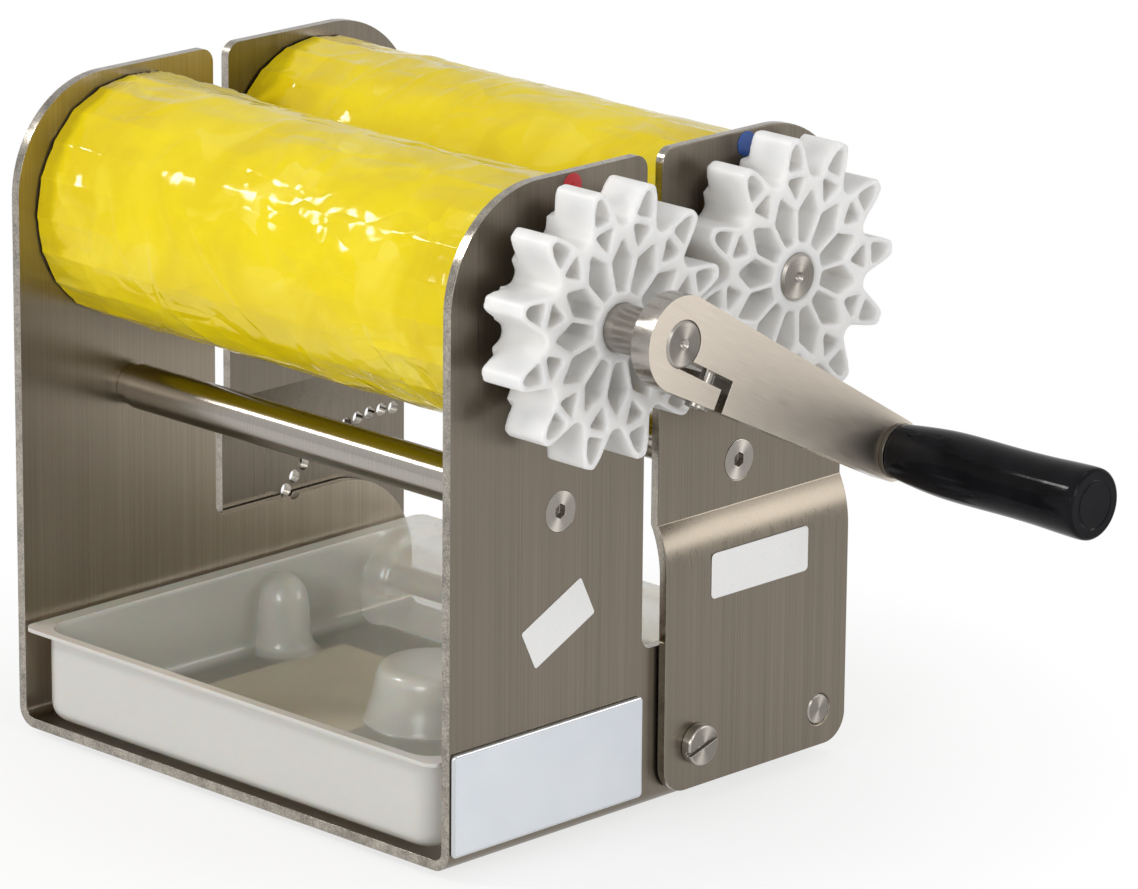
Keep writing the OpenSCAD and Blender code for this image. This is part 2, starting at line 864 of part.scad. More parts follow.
function gap_cell_points(mid) =
    let (
        r_shoulder = gap_cell_shares[0] * gear_tip_r,
        r_apex = gap_cell_shares[1] * gear_tip_r,
        a_in = half_pitch() - spoke_angle(gear_hub_r),
        a_shoulder = half_pitch() - spoke_angle(r_shoulder)
    ) [
        polar(gear_hub_r, mid - a_in), polar(r_shoulder, mid - a_shoulder), polar(r_apex, mid),
        polar(r_shoulder, mid + a_shoulder), polar(gear_hub_r, mid + a_in)
    ];

module gear_cells() {
    for (k = [0 : gear_teeth - 1]) {
        polygon(mirrored_points(hollow_shares, 2 * k * half_pitch()));
        polygon(mirrored_points(fork_shares, 2 * k * half_pitch()));
        polygon(gap_cell_points((2 * k + 1) * half_pitch()));
    }
}

module gear(gear_x, first_tooth) {
    out_x = gear_x + gear_l;
    rotate([first_tooth, 0, 0]) difference() {
        union() {
            across(gear_x + gear_back_w, out_x) polygon(gear_points());
            across(gear_x, gear_x + gear_back_w) intersection() {
                polygon(gear_points());
                circle(r = gear_back_r);
            }
        }
        across(out_x - cell_deep, out_x + over) gear_cells();
        bar(gear_x - over, out_x + over, shaft_r + seat_gap);
    }
}

// A drive pin lies across the shaft, in the closed part of the gear
module gear_drive_pin(gear_x) {
    translate([gear_x + gear_pin_x, 0, -gear_pin_half])
        cylinder(h = 2 * gear_pin_half, r = drive_pin_r);
}

module gear_pin_hole(gear_x) {
    cross_pin_hole(gear_x + gear_pin_x, gear_pin_half + face_gap);
}

module front_gear() {
    color("#f1f1ee") at_front_roller() difference() {
        gear(front_gear_x, front_gear_turn);
        rotate([crank_slope, 0, 0]) gear_pin_hole(front_gear_x);
    }
}

module rear_gear() {
    color("#f1f1ee") at_rear_roller() difference() {
        gear(rear_gear_x, rear_gear_turn);
        gear_pin_hole(rear_gear_x);
    }
}

module front_gear_pin() {
    color("#8f8b84") at_front_roller() rotate([crank_slope, 0, 0]) gear_drive_pin(front_gear_x);
}

module rear_gear_pin() {
    color("#8f8b84") at_rear_roller() gear_drive_pin(rear_gear_x);
}

// Crank

// Place of the clamp screw: its axis crosses the arm from the lower edge
module at_clamp_screw() {
    edge_v = crank_eye_r - clamp_screw_u * (crank_eye_r - crank_tip_r) / crank_throw;
    translate([(arm_in_x + arm_out_x) / 2, clamp_screw_u, -edge_v]) children();
}

module crank_arm() {
    slit_low = slit_drop + slit_w;
    color("#c3bfb6") at_crank() difference() {
        across(arm_in_x, arm_out_x) difference() {
            tapered_outline(crank_eye_r, crank_tip_r, crank_throw);
            translate([0, -slit_low]) square([slit_reach, slit_w]);
            translate([slit_reach - slit_w, -crank_eye_r - over])
                square([slit_w, crank_eye_r + over - slit_drop]);
        }
        bar(arm_in_x - over, arm_out_x + over, shaft_r + seat_gap);
        translate([0, crank_throw, 0])
            bar(arm_in_x - over, arm_out_x + over, grip_thread_d / 2 + seat_gap);
        at_clamp_screw() {
            cylinder(h = clamp_screw_l + over, r = clamp_screw_d / 2 + seat_gap);
            translate([0, 0, -clamp_head_t])
                cylinder(h = 2 * clamp_head_t - clamp_head_stand, r = clamp_head_d / 2 + seat_gap);
        }
    }
}

module crank_clamp_screw() {
    seat = clamp_head_t - clamp_head_stand;
    color("#8d8983") at_crank() at_clamp_screw() difference() {
        union() {
            cylinder(h = clamp_screw_l, r = clamp_screw_d / 2);
            translate([0, 0, -clamp_head_stand]) cylinder(h = clamp_head_t, r = clamp_head_d / 2);
        }
        translate([0, 0, -clamp_head_stand - over])
            cylinder(h = seat, r = hex_r(clamp_hex_w), $fn = hex_sides);
    }
}

module at_grip() {
    at_crank() translate([0, crank_throw, 0]) children();
}

module grip_bolt() {
    color("#a8a297") at_grip() difference() {
        union() {
            bar(arm_in_x + shaft_chamfer, arm_out_x, grip_thread_d / 2);
            bar(arm_out_x, grip_head_x, grip_bolt_d / 2);
            bar(grip_head_x, grip_head_x + grip_head_t, grip_head_d / 2);
        }
        translate([grip_head_x + grip_head_t - hex_deep, 0, 0]) rotate([0, 90, 0])
            cylinder(h = hex_deep + over, r = hex_r(hex_w), $fn = hex_sides);
    }
}

module grip_washer() {
    color("#b5afa4") at_grip() difference() {
        bar(arm_out_x, arm_out_x + grip_washer_t, grip_base_r - seat_gap);
        bar(arm_out_x - over, grip_x + over, grip_bolt_d / 2 + seat_gap);
    }
}

function grip_radius(share) = grip_base_r + share[1] * (grip_swell_r - grip_base_r);

module grip_outline() {
    flat_r = grip_end_r - grip_round_r;
    polygon(concat(
        [[0, face_gap], [grip_radius(grip_shares[0]), face_gap]],
        [for (i = [1 : len(grip_shares) - 1])
            [grip_radius(grip_shares[i]), grip_shares[i][0] * grip_l]],
        [for (i = [0 : rim_steps])
            [flat_r + grip_round_r * cos(90 * i / rim_steps),
                grip_l - grip_round_r + grip_round_r * sin(90 * i / rim_steps)]],
        [[0, grip_l]]
    ));
}

module grip() {
    cap_r = grip_head_d / 2 + face_gap + seat_gap;
    color("#15151a") at_grip() difference() {
        translate([grip_x, 0, 0]) rotate([0, 90, 0]) rotate_extrude() grip_outline();
        bar(grip_x - over, grip_end_x, grip_bolt_d / 2 + run_gap);
        bar(grip_head_x - face_gap, grip_end_x + over, cap_r);
    }
}

module grip_cap() {
    color("#1c1c21") at_grip()
        bar(grip_end_x - grip_cap_t, grip_end_x, grip_head_d / 2 + face_gap);
}

// Gap adjustment

module hinge_axle() {
    end_r = axle_end_d / 2;
    square_w = axle_end_d - 2 * axle_chamfer;
    color("#b0aaa0") at_axle() difference() {
        union() {
            bar(-plate_in_x, plate_in_x, axle_d / 2);
            bar(-low_out_x, -plate_in_x, end_r);
            chamfered_bar(plate_in_x, low_out_x, end_r, axle_chamfer);
            both_sides() at_yz(-eccentric_off, 0)
                bar(plate_in_x - sheet_t, plate_out_x + sill_gap - washer_play, eccentric_r);
            intersection() {
                bar(-lever_out_x + face_gap, -low_out_x, end_r);
                translate([-lever_out_x, -square_w / 2, -square_w / 2])
                    cube([lever_out_x, square_w, square_w]);
            }
        }
        bar(-lever_out_x - over, lever_screw_l - lever_out_x, lever_screw_d / 2 + seat_gap);
    }
}

module pivot_screw() {
    nut_x = plate_in_x - pivot_nut_t;
    difference() {
        union() {
            bar(nut_x, low_out_x + 2 * washer_play, pivot_r);
            chamfered_bar(low_out_x + washer_play, low_out_x + pivot_head_t,
                pivot_head_d / 2, axle_chamfer);
        }
        rotate([coin_slot_turn, 0, 0])
            translate([low_out_x + pivot_head_t - coin_slot_deep, -pivot_head_d, -coin_slot_w / 2])
                cube([coin_slot_deep + over, 2 * pivot_head_d, coin_slot_w]);
    }
}

module pivot_screws() {
    color("#b8b3a9") at_pivot() both_sides() pivot_screw();
}

module pivot_nuts() {
    color("#8f8b84") at_pivot() both_sides() difference() {
        translate([plate_in_x - pivot_nut_t, 0, 0]) rotate([0, 90, 0])
            cylinder(h = pivot_nut_t, r = hex_r(pivot_nut_w), $fn = hex_sides);
        bar(plate_in_x - pivot_nut_t - over, plate_in_x + over, pivot_r + seat_gap);
    }
}

module pivot_washers() {
    color("#d9d6cf") at_pivot() both_sides() difference() {
        bar(plate_out_x, low_in_x - washer_play, pivot_washer_d / 2);
        bar(plate_out_x - over, low_in_x + over, pivot_r + seat_gap);
    }
}

// The lever's own frame: Y from the axle towards the index pin
module at_lever() {
    at_axle() rotate([lever_turn, 0, 0]) children();
}

module gap_lever() {
    square_w = axle_end_d - 2 * axle_chamfer + 2 * seat_gap;
    color("#a39c90") difference() {
        at_lever() difference() {
            across(-lever_out_x, -lever_in_x) tapered_outline(lever_foot_r, lever_head_r, index_r);
            translate([0, index_r, 0])
                bar(-lever_out_x - over, -lever_in_x + over, index_bush_d / 2 + seat_gap);
        }
        at_axle() intersection() {
            bar(-lever_out_x - over, -lever_in_x + over, axle_end_d / 2 + seat_gap);
            translate([-lever_out_x - over, -square_w / 2, -square_w / 2])
                cube([lever_t + 2 * over, square_w, square_w]);
        }
    }
}

module lever_washer() {
    color("#9a958c") at_axle() difference() {
        bar(-lever_out_x - lever_washer_t, -lever_out_x, lever_washer_d / 2);
        bar(-lever_out_x - lever_washer_t - over, -lever_out_x + over, lever_screw_d / 2 + seat_gap);
    }
}

module lever_screw() {
    head_x = -lever_out_x - lever_washer_t;
    color("#8d8983") at_axle() difference() {
        union() {
            bar(head_x, head_x + lever_screw_l, lever_screw_d / 2);
            bar(head_x - lever_head_t, head_x, lever_head_d / 2);
        }
        translate([head_x - lever_head_t - over, 0, 0]) rotate([0, 90, 0])
            cylinder(h = hex_deep + over, r = hex_r(hex_w), $fn = hex_sides);
    }
}

module index_bush() {
    color("#b5afa4") at_lever() translate([0, index_r, 0]) difference() {
        union() {
            bar(-lever_out_x, -lever_in_x, index_bush_d / 2);
            bar(-lever_out_x - index_bush_l, -lever_out_x, index_bush_d / 2 + index_bush_step);
        }
        bar(-lever_out_x - index_bush_l - over, -lever_in_x + over, index_pin_d / 2 + run_gap);
    }
}

module index_pin() {
    tip_x = -low_out_x - index_tip_gap;
    color("#c9c5bc") at_lever() translate([0, index_r, 0]) {
        bar(knob_x + knob_l / 2, tip_x - axle_chamfer, index_pin_d / 2);
        taper(tip_x - axle_chamfer, tip_x, index_pin_d / 2, index_pin_d / 2 - axle_chamfer);
    }
}

module index_knob() {
    knob_r = knob_d / 2;
    color("#15151a") at_lever() translate([0, index_r, 0]) difference() {
        union() {
            taper(knob_x, knob_x + grip_round_r / 2, knob_r - grip_round_r / 2, knob_r);
            bar(knob_x + grip_round_r / 2, knob_x + 2 * knob_l / 3, knob_r);
            taper(knob_x + 2 * knob_l / 3, knob_x + knob_l, knob_r, knob_r / 2);
        }
        bar(knob_x + knob_l / 2 - face_gap, knob_x + knob_l + over, index_pin_d / 2 + seat_gap);
    }
}

// Tray

// Box with round upright corners, and a round edge between its floor and each wall
module tray_block(half_w, front_y, rear_y, floor_h, top_h, corner_r, floor_r) {
    intersection() {
        translate([0, 0, floor_h]) linear_extrude(height = top_h - floor_h)
            rounded_outline(-half_w, half_w, front_y, rear_y, [corner_r, corner_r, corner_r, corner_r]);
        lengthwise(front_y, rear_y)
            rounded_outline(-half_w, half_w, floor_h, top_h, [floor_r, floor_r, 0, 0]);
        across(-half_w, half_w)
            rounded_outline(front_y, rear_y, floor_h, top_h, [floor_r, 0, 0, 0]);
    }
}

// Everything below and behind a round arch over the hinge axle
module arch_space(x_from, x_to, r) {
    at_yz(axle_y, axle_h) {
        bar(x_from, x_to, r);
        translate([x_from, 0, -frame_h]) cube([x_to - x_from, rear_depth, frame_h + r]);
    }
}

// Spaces that the tray bends round: the arch over the hinge axle, the posts over
// the pivot nuts and the boss in the middle, each made larger by grow
module tray_hollows(grow) {
    skin = tray_t - grow;
    end_x = tray_w / 2 - arch_end_w - grow;
    arch_space(-tray_w, tray_w, tray_arch_r - skin);
    both_sides() {
        arch_space(end_x, tray_w, arch_end_r - skin);
        translate([post_x, pivot_y, 0]) {
            cylinder(h = post_top_h, r = tray_post_r - skin);
            translate([0, 0, post_top_h]) sphere(r = tray_post_r - skin);
        }
    }
    translate([0, boss_y, tray_under_h - over]) cylinder(
        h = boss_top_h - tray_under_h + over - skin,
        r1 = boss_foot_r - skin,
        r2 = boss_top_r - skin
    );
}

module tray() {
    inner_half = tray_w / 2 - tray_t;
    inner_r = tray_corner_r - tray_t;
    inner_floor_r = tray_floor_r - tray_t;
    flange_half = tray_w / 2 + tray_side_flange;
    radii = [flange_corner_r, flange_corner_r, flange_corner_r, flange_corner_r];
    color("#d9dcda", 0.8) on_feet() difference() {
        union() {
            difference() {
                tray_block(tray_w / 2, tray_front_y, tray_rear_y, tray_under_h, tray_rim_h,
                    tray_corner_r, tray_floor_r);
                tray_hollows(0);
            }
            translate([0, 0, tray_rim_h - tray_t]) linear_extrude(height = tray_t)
                rounded_outline(-flange_half, flange_half, -tray_flange_l / 2, tray_flange_l / 2, radii);
        }
        difference() {
            tray_block(inner_half, tray_front_y + tray_t, tray_rear_y - tray_t,
                tray_under_h + tray_t, tray_rim_h + over, inner_r, inner_floor_r);
            tray_hollows(tray_t);
        }
    }
}

// Dots, plates and labels, all blank

module flat_label(w, l, t, corner_r) {
    across(0, t) rounded_outline(-w / 2, w / 2, -l / 2, l / 2, [corner_r, corner_r, corner_r, corner_r]);
}

module red_dot() {
    color("#c8102e") on_feet() at_yz(front_dot_y, dot_mid_h)
        bar(plate_out_x, plate_out_x + label_t, dot_d / 2);
}

module blue_dot() {
    color("#1f4fa3") on_feet() at_yz(rear_dot_y, dot_mid_h)
        bar(plate_out_x, plate_out_x + label_t, dot_d / 2);
}

module name_plate() {
    color("#e6ebf0") on_feet() translate([plate_out_x, name_plate_y, name_plate_mid_h])
        flat_label(name_plate_w, name_plate_l, name_plate_t, label_corner_r);
}

module rear_label() {
    color("#f3f1ee") on_feet() translate([low_out_x, rear_label_y, rear_label_mid_h])
        flat_label(rear_label_w, rear_label_l, label_t, label_corner_r);
}

module slant_label() {
    color("#f3f1ee") on_feet() translate([plate_out_x, slant_label_y, slant_label_mid_h])
        rotate([slant_label_turn, 0, 0])
            flat_label(slant_label_w, slant_label_l, label_t, label_corner_r / 2);
}

module base_sticker() {
    color("#d8cfae") on_feet() translate([sticker_x, sticker_y, sheet_t]) linear_extrude(height = sticker_t)
        rounded_outline(-sticker_w / 2, sticker_w / 2, -sticker_l / 2, sticker_l / 2, [0, 0, 0, 0]);
}

front_frame();
rear_plate_left();
rear_plate_right();
rubber_feet();
front_tie_rod();
rear_tie_rod();
front_tie_screws();
rear_tie_screws();
front_bushes();
rear_bushes();
front_shaft();
rear_shaft();
front_roller();
rear_roller();
front_roller_hubs();
rear_roller_hubs();
front_roller_pins();
rear_roller_pins();
front_film();
rear_film();
front_retaining_ring();
rear_retaining_ring();
front_gear_spacer();
rear_gear_spacer();
front_gear();
rear_gear();
front_gear_pin();
rear_gear_pin();
crank_arm();
crank_clamp_screw();
grip_bolt();
grip_washer();
grip();
grip_cap();
hinge_axle();
pivot_screws();
pivot_nuts();
pivot_washers();
gap_lever();
lever_screw();
lever_washer();
index_bush();
index_pin();
index_knob();
tray();
red_dot();
blue_dot();
name_plate();
rear_label();
slant_label();
base_sticker();
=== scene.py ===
"""Looks of a hand cranked meat press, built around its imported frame. Lengths are in metres."""
import json
import math

import bmesh
import bpy
import numpy as np
from mathutils import Matrix, Vector


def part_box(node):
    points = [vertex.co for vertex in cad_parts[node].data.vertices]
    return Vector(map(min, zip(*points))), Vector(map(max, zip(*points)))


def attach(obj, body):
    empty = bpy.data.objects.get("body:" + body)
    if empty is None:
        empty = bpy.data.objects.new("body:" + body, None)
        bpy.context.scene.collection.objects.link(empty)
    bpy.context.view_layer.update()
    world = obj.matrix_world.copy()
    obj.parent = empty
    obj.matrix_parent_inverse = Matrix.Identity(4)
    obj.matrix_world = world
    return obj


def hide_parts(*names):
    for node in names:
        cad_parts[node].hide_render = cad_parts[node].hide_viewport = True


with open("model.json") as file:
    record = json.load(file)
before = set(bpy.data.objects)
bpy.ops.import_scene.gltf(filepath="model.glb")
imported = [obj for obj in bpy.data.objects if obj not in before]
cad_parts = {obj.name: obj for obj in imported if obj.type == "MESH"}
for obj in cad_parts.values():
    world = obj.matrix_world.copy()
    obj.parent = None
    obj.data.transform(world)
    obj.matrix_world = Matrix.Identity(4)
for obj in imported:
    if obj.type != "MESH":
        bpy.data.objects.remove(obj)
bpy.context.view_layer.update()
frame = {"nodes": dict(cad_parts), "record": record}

MM = 0.001
NODES = frame["nodes"]
RECORD = frame["record"]
BODY_OF = {n: b for b, names in RECORD["behaviour"]["bodies"].items() for n in names}

# Camera: place and direction worked out from the frame's edges in the photograph
CAMERA_PLACE = (1.74253, -1.69889, 0.84415)
CAMERA_AZIMUTH = 44.434
CAMERA_ELEVATION = 16.542
CAMERA_ROLL = 0.521
CAMERA_LENS = 208.35
CAMERA_SENSOR = 36.0

# Places (y, z) of the axes that run along X
FRONT_AXIS = (-49 * MM, 207.5 * MM)
REAR_AXIS = (49 * MM, 207.5 * MM)
FRONT_ROD = (-48 * MM, 131 * MM)
REAR_ROD = (48 * MM, 131 * MM)
HINGE_AXLE = (90 * MM, 22.8 * MM)
PIVOTS = (21 * MM, 25.6 * MM)

# Fall of the crank arm towards its grip
CRANK_SLOPE = math.radians(-28.6)

# Metal colours
STEEL = (0.198, 0.171, 0.136)
# Lighter copy of the sheet steel for the left plate's inner face: painted light within the frame
INSIDE_STEEL_PAINTED_LIGHT = (0.34, 0.293, 0.23)
EDGE_STEEL = (0.33, 0.303, 0.263)
# The crank arm's steel, much lighter than the plates': painted sheen for the highlight its grain catches
CRANK_STEEL_PAINTED_SHEEN = (0.62, 0.553, 0.471)
LIGHT_STEEL = (0.40, 0.375, 0.34)
# Colours of the end faces of turned parts, darker than their sides: painted shade
END_STEEL_PAINTED_SHADE = (0.225, 0.207, 0.185)
SCREW_END_PAINTED_SHADE = (0.29, 0.27, 0.242)
SMALL_STEEL = (0.36, 0.34, 0.31)
SPRING_STEEL = (0.14, 0.135, 0.13)
# Grip washer: dark steel, darkened further as painted shade where the arm meets the grip
DARK_STEEL_AND_SHADE = (0.105, 0.096, 0.085)

# Film sleeves: flats over the roller's ribs, folds, and points along and round a sleeve
FILM_FLATS = 20
FILM_FOLDS = 230
FILM_WAVES = 14
FILM_COLUMNS = 330
FILM_ROWS = 460
FRONT_FILM_SEED = 11
REAR_FILM_SEED = 23
# How far a sleeve goes past its node's ends, stands off it and reaches into it, and its least thickness
FILM_OVER_END = 1.0 * MM
FILM_LIFT = 0.15 * MM
FILM_SINK = 0.45 * MM
FILM_LEAST = 0.1 * MM
# Loose clear tail of film on the front roller: place and half width round it, and start along it
FILM_TAIL_ANGLE = math.radians(74)
FILM_TAIL_HALF = math.radians(13)
FILM_TAIL_FROM = -52 * MM
FILM_TAIL_RAMP = 20 * MM
FILM_CRUMPLES = 12

# Tray: wall, flange, and what rises from its floor
TRAY_HALF_X = 109.5 * MM
TRAY_FLANGE_Y = 4 * MM
TRAY_FLANGE_CORNER = 5 * MM
TRAY_WALL = 1.5 * MM
TRAY_CORNER = 12 * MM
TRAY_FLOOR_CORNER = 7 * MM
TRAY_VOXEL = 1.25 * MM
TRAY_SOFTENING = 8
ARCH_RADIUS = 18.5 * MM
ARCH_END_RADIUS = 21.4 * MM
ARCH_END_LENGTH = 11 * MM
POST_PLACE = (103 * MM, 20.5 * MM)
POST_RADIUS = 10.5 * MM
POST_DOME_FROM = 27 * MM
POST_DOME_RISE = 13.5 * MM
BOSS_PLACE = (0, 4 * MM)
BOSS_TOP = 30.5 * MM
# Beyond the tray's sides, so that a cut goes right through
PAST_TRAY = 150 * MM

# How much of the light each face of the frosted tray stops, and where its floor and front are
HAZE_FRONT = 0.78
HAZE_INSIDE = 0.5
HAZE_FLOOR = 0.26
HAZE_FLOOR_Z = (11 * MM, 14 * MM)
# HAZE_FRONT_Y also marks where the painted light of the tray's hollow gives way to the front colour
HAZE_FRONT_Y = (-99 * MM, -95 * MM)


# Meshes

def add_object(name, mesh):
    piece = bpy.data.objects.new(name, mesh)
    bpy.context.scene.collection.objects.link(piece)
    return piece


def mesh_object(name, verts, faces):
    mesh = bpy.data.meshes.new(name)
    mesh.from_pydata([tuple(v) for v in verts], [], faces)
    mesh.validate()
    mesh.update()
    return add_object(name, mesh)


def apply_modifiers(piece):
    """Replaces the piece's mesh by the one that its modifiers make."""
    graph = bpy.context.evaluated_depsgraph_get()
    mesh = bpy.data.meshes.new_from_object(piece.evaluated_get(graph))
    piece.modifiers.clear()
    piece.data = mesh


def shade(piece, sharp_degrees=35, weighted=True):
    """Smooth shading that keeps the sharp edges and the flat faces flat."""
    for polygon in piece.data.polygons:
        polygon.use_smooth = True
    piece.data.set_sharp_from_angle(angle=math.radians(sharp_degrees))
    if weighted:
        modifier = piece.modifiers.new("weighted normals", "WEIGHTED_NORMAL")
        modifier.keep_sharp = True


def stand_for(piece, node, *materials):
    """Puts the piece in the node's place: same body, its own materials, and hides the node."""
    piece.data.materials.clear()
    for material in materials:
        piece.data.materials.append(material)
    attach(piece, BODY_OF[node])
    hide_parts(node)


def clean_copy(node):
    """The node's mesh with its seams welded and its flat faces joined."""
    bm = bmesh.new()
    bm.from_mesh(NODES[node].data)
    bmesh.ops.remove_doubles(bm, verts=bm.verts, dist=2e-6)
    bmesh.ops.dissolve_degenerate(bm, edges=bm.edges, dist=1e-6)
    bmesh.ops.dissolve_limit(
        bm, angle_limit=math.radians(0.4), verts=bm.verts, edges=bm.edges, use_dissolve_boundaries=False
    )
    return bm


def face_angle(edge):
    return math.degrees(edge.calc_face_angle(0.0))


def round_edges(bm, width, segments, chosen):
    edges = [e for e in bm.edges if len(e.link_faces) == 2 and chosen(e)]
    if edges:
        bmesh.ops.bevel(
            bm, geom=edges, offset=width, offset_type="OFFSET", segments=segments, profile=0.5,
            affect="EDGES", clamp_overlap=True, loop_slide=True
        )


def dressed(node, width, *materials, segments=2, edge_faces=None, least_angle=32):
    """A copy of a CAD node with rounded edges. Faces that edge_faces names get material 1."""
    bm = clean_copy(node)
    round_edges(bm, width, segments, lambda e: face_angle(e) > least_angle)
    if edge_faces:
        for face in bm.faces:
            if edge_faces(face):
                face.material_index = 1
    mesh = bpy.data.meshes.new("shown_" + node)
    bm.to_mesh(mesh)
    bm.free()
    piece = add_object("shown_" + node, mesh)
    indices = [p.material_index for p in mesh.polygons]
    stand_for(piece, node, *materials)
    piece.data.polygons.foreach_set("material_index", indices)
    shade(piece)
    return piece


def soft_moulding(node, material, voxel, rounds):
    """A copy of a CAD node with its edges melted round, as on a thick plastic moulding."""
    bm = clean_copy(node)
    mesh = bpy.data.meshes.new("soft_" + node)
    bm.to_mesh(mesh)
    bm.free()
    piece = add_object("soft_" + node, mesh)
    remesh = piece.modifiers.new("even mesh", "REMESH")
    remesh.mode = "VOXEL"
    remesh.voxel_size = voxel
    soften = piece.modifiers.new("melt", "SMOOTH")
    soften.factor = 0.5
    soften.iterations = rounds
    apply_modifiers(piece)
    stand_for(piece, node, material)
    shade(piece, 60, weighted=False)


def middle_yz(node):
    """The middle of a node's box, which is the axis of a piece turned about X."""
    low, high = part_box(node)
    return (low.y + high.y) / 2, (low.z + high.z) / 2


def lathe(name, profile, steps, centre):
    """Turns a profile of (x, radius) points round the X axis through centre (y, z)."""
    verts, faces = [], []
    for x, radius in profile:
        for i in range(steps):
            angle = 2 * math.pi * i / steps
            verts.append((x, centre[0] + radius * math.cos(angle), centre[1] + radius * math.sin(angle)))
    for j in range(len(profile) - 1):
        for i in range(steps):
            k = (i + 1) % steps
            faces.append((j * steps + i, (j + 1) * steps + i, (j + 1) * steps + k, j * steps + k))
    faces.append(tuple(range(steps)))
    faces.append(tuple(reversed(range((len(profile) - 1) * steps, len(profile) * steps))))
    return mesh_object(name, verts, faces)


def curve_between(a, b, c, d, t):
    """A number at share t of the way from b to c on the smooth curve through a, b, c and d."""
    square = (2 * a - 5 * b + 4 * c - d) * t * t
    cube = (3 * b - a - 3 * c + d) * t ** 3
    return 0.5 * (2 * b + (c - a) * t + square + cube)


def smooth_profile(points, steps):
    """Points on a smooth curve through the given ones."""
    out = []
    for i in range(len(points) - 1):
        p0, p1 = points[max(i - 1, 0)], points[i]
        p2, p3 = points[i + 1], points[min(i + 2, len(points) - 1)]
        for j in range(steps):
            share = j / steps
            out.append(tuple(curve_between(a, b, c, d, share) for a, b, c, d in zip(p0, p1, p2, p3)))
    out.append(points[-1])
    return out


# Materials

class Shader:
    """A new material's node tree, with short calls for what the materials here need."""

    def __init__(self, name, **sockets):
        self.material = bpy.data.materials.new(name)
        self.material.use_nodes = True
        self.nodes = self.material.node_tree.nodes
        self.links = self.material.node_tree.links
        self.principled = self.nodes["Principled BSDF"]
        for key, value in sockets.items():
            socket = key.replace("_", " ").title().replace("Ior", "IOR")
            self.principled.inputs[socket].default_value = value

    def node(self, kind, inputs=(), **settings):
        made = self.nodes.new(kind)
        for key, value in settings.items():
            setattr(made, key, value)
        for key, value in dict(inputs).items():
            self.feed(made.inputs[key], value)
        return made

    def feed(self, socket, value):
        """Gives a socket a link where the value is another socket, and a plain value otherwise."""
        if isinstance(value, bpy.types.NodeSocket):
            self.links.new(value, socket)
        else:
            socket.default_value = value

    def place(self):
        """The place of the shaded point, in the part's own frame at rest."""
        return self.node("ShaderNodeTexCoord").outputs["Object"]

    def normal(self):
        return self.node("ShaderNodeTexCoord").outputs["Normal"]

    def math(self, operation, a, b=0.0, c=0.0):
        return self.node("ShaderNodeMath", {0: a, 1: b, 2: c}, operation=operation).outputs[0]

    def vector(self, operation, a, b=(0, 0, 0)):
        made = self.node("ShaderNodeVectorMath", {0: a, 1: b}, operation=operation)
        return made.outputs["Value" if operation in ("DOT_PRODUCT", "LENGTH") else "Vector"]

    def noise(self, vector, scale, detail=2.0, roughness=0.5, distortion=0.0):
        made = self.node("ShaderNodeTexNoise", {
            "Vector": vector, "Scale": scale, "Detail": detail, "Roughness": roughness,
            "Distortion": distortion
        })
        return made.outputs["Fac"]

    def between(self, value, low, high, out_low, out_high):
        made = self.node("ShaderNodeMapRange", {
            "Value": value, "From Min": low, "From Max": high,
            "To Min": out_low, "To Max": out_high
        })
        return made.outputs["Result"]

    def blend(self, factor, first, second):
        made = self.node("ShaderNodeMix", data_type="RGBA")
        self.feed(made.inputs["Factor"], factor)
        mixed = [s for s in made.inputs if s.type == "RGBA"]
        self.feed(mixed[0], first)
        self.feed(mixed[1], second)
        return [s for s in made.outputs if s.type == "RGBA"][0]

    def mottle(self, noise, first, second, low=0.35, high=0.65):
        """Goes from the first colour to the second as the noise rises from low to high."""
        return self.blend(self.between(noise, low, high, 0.0, 1.0), first, second)

    def split(self, vector):
        return self.node("ShaderNodeSeparateXYZ", {0: vector}).outputs

    def join(self, x, y, z):
        return self.node("ShaderNodeCombineXYZ", {0: x, 1: y, 2: z}).outputs[0]

    def set(self, socket, value):
        self.feed(self.principled.inputs[socket], value)

    def roughen(self, noise, least, most):
        """Roughness that goes with a noise."""
        self.set("Roughness", self.between(noise, 0.3, 0.7, least, most))

    def bump(self, height, strength, distance):
        made = self.node("ShaderNodeBump", {"Height": height, "Strength": strength, "Distance": distance})
        previous = self.principled.inputs["Normal"]
        if previous.is_linked:
            self.links.new(previous.links[0].from_socket, made.inputs["Normal"])
        self.links.new(made.outputs["Normal"], previous)

    def groove(self, direction, amount):
        """Blurs reflections across grooves that run along direction, in the part's own space."""
        across = self.vector("CROSS_PRODUCT", self.normal(), direction)
        world = self.node(
            "ShaderNodeVectorTransform", {0: across},
            vector_type="VECTOR", convert_from="OBJECT", convert_to="WORLD"
        )
        self.set("Tangent", world.outputs[0])
        self.set("Anisotropic", amount)


def rgba(colour, factor=1.0):
    return tuple(min(1.0, c * factor) for c in colour) + (1.0,)


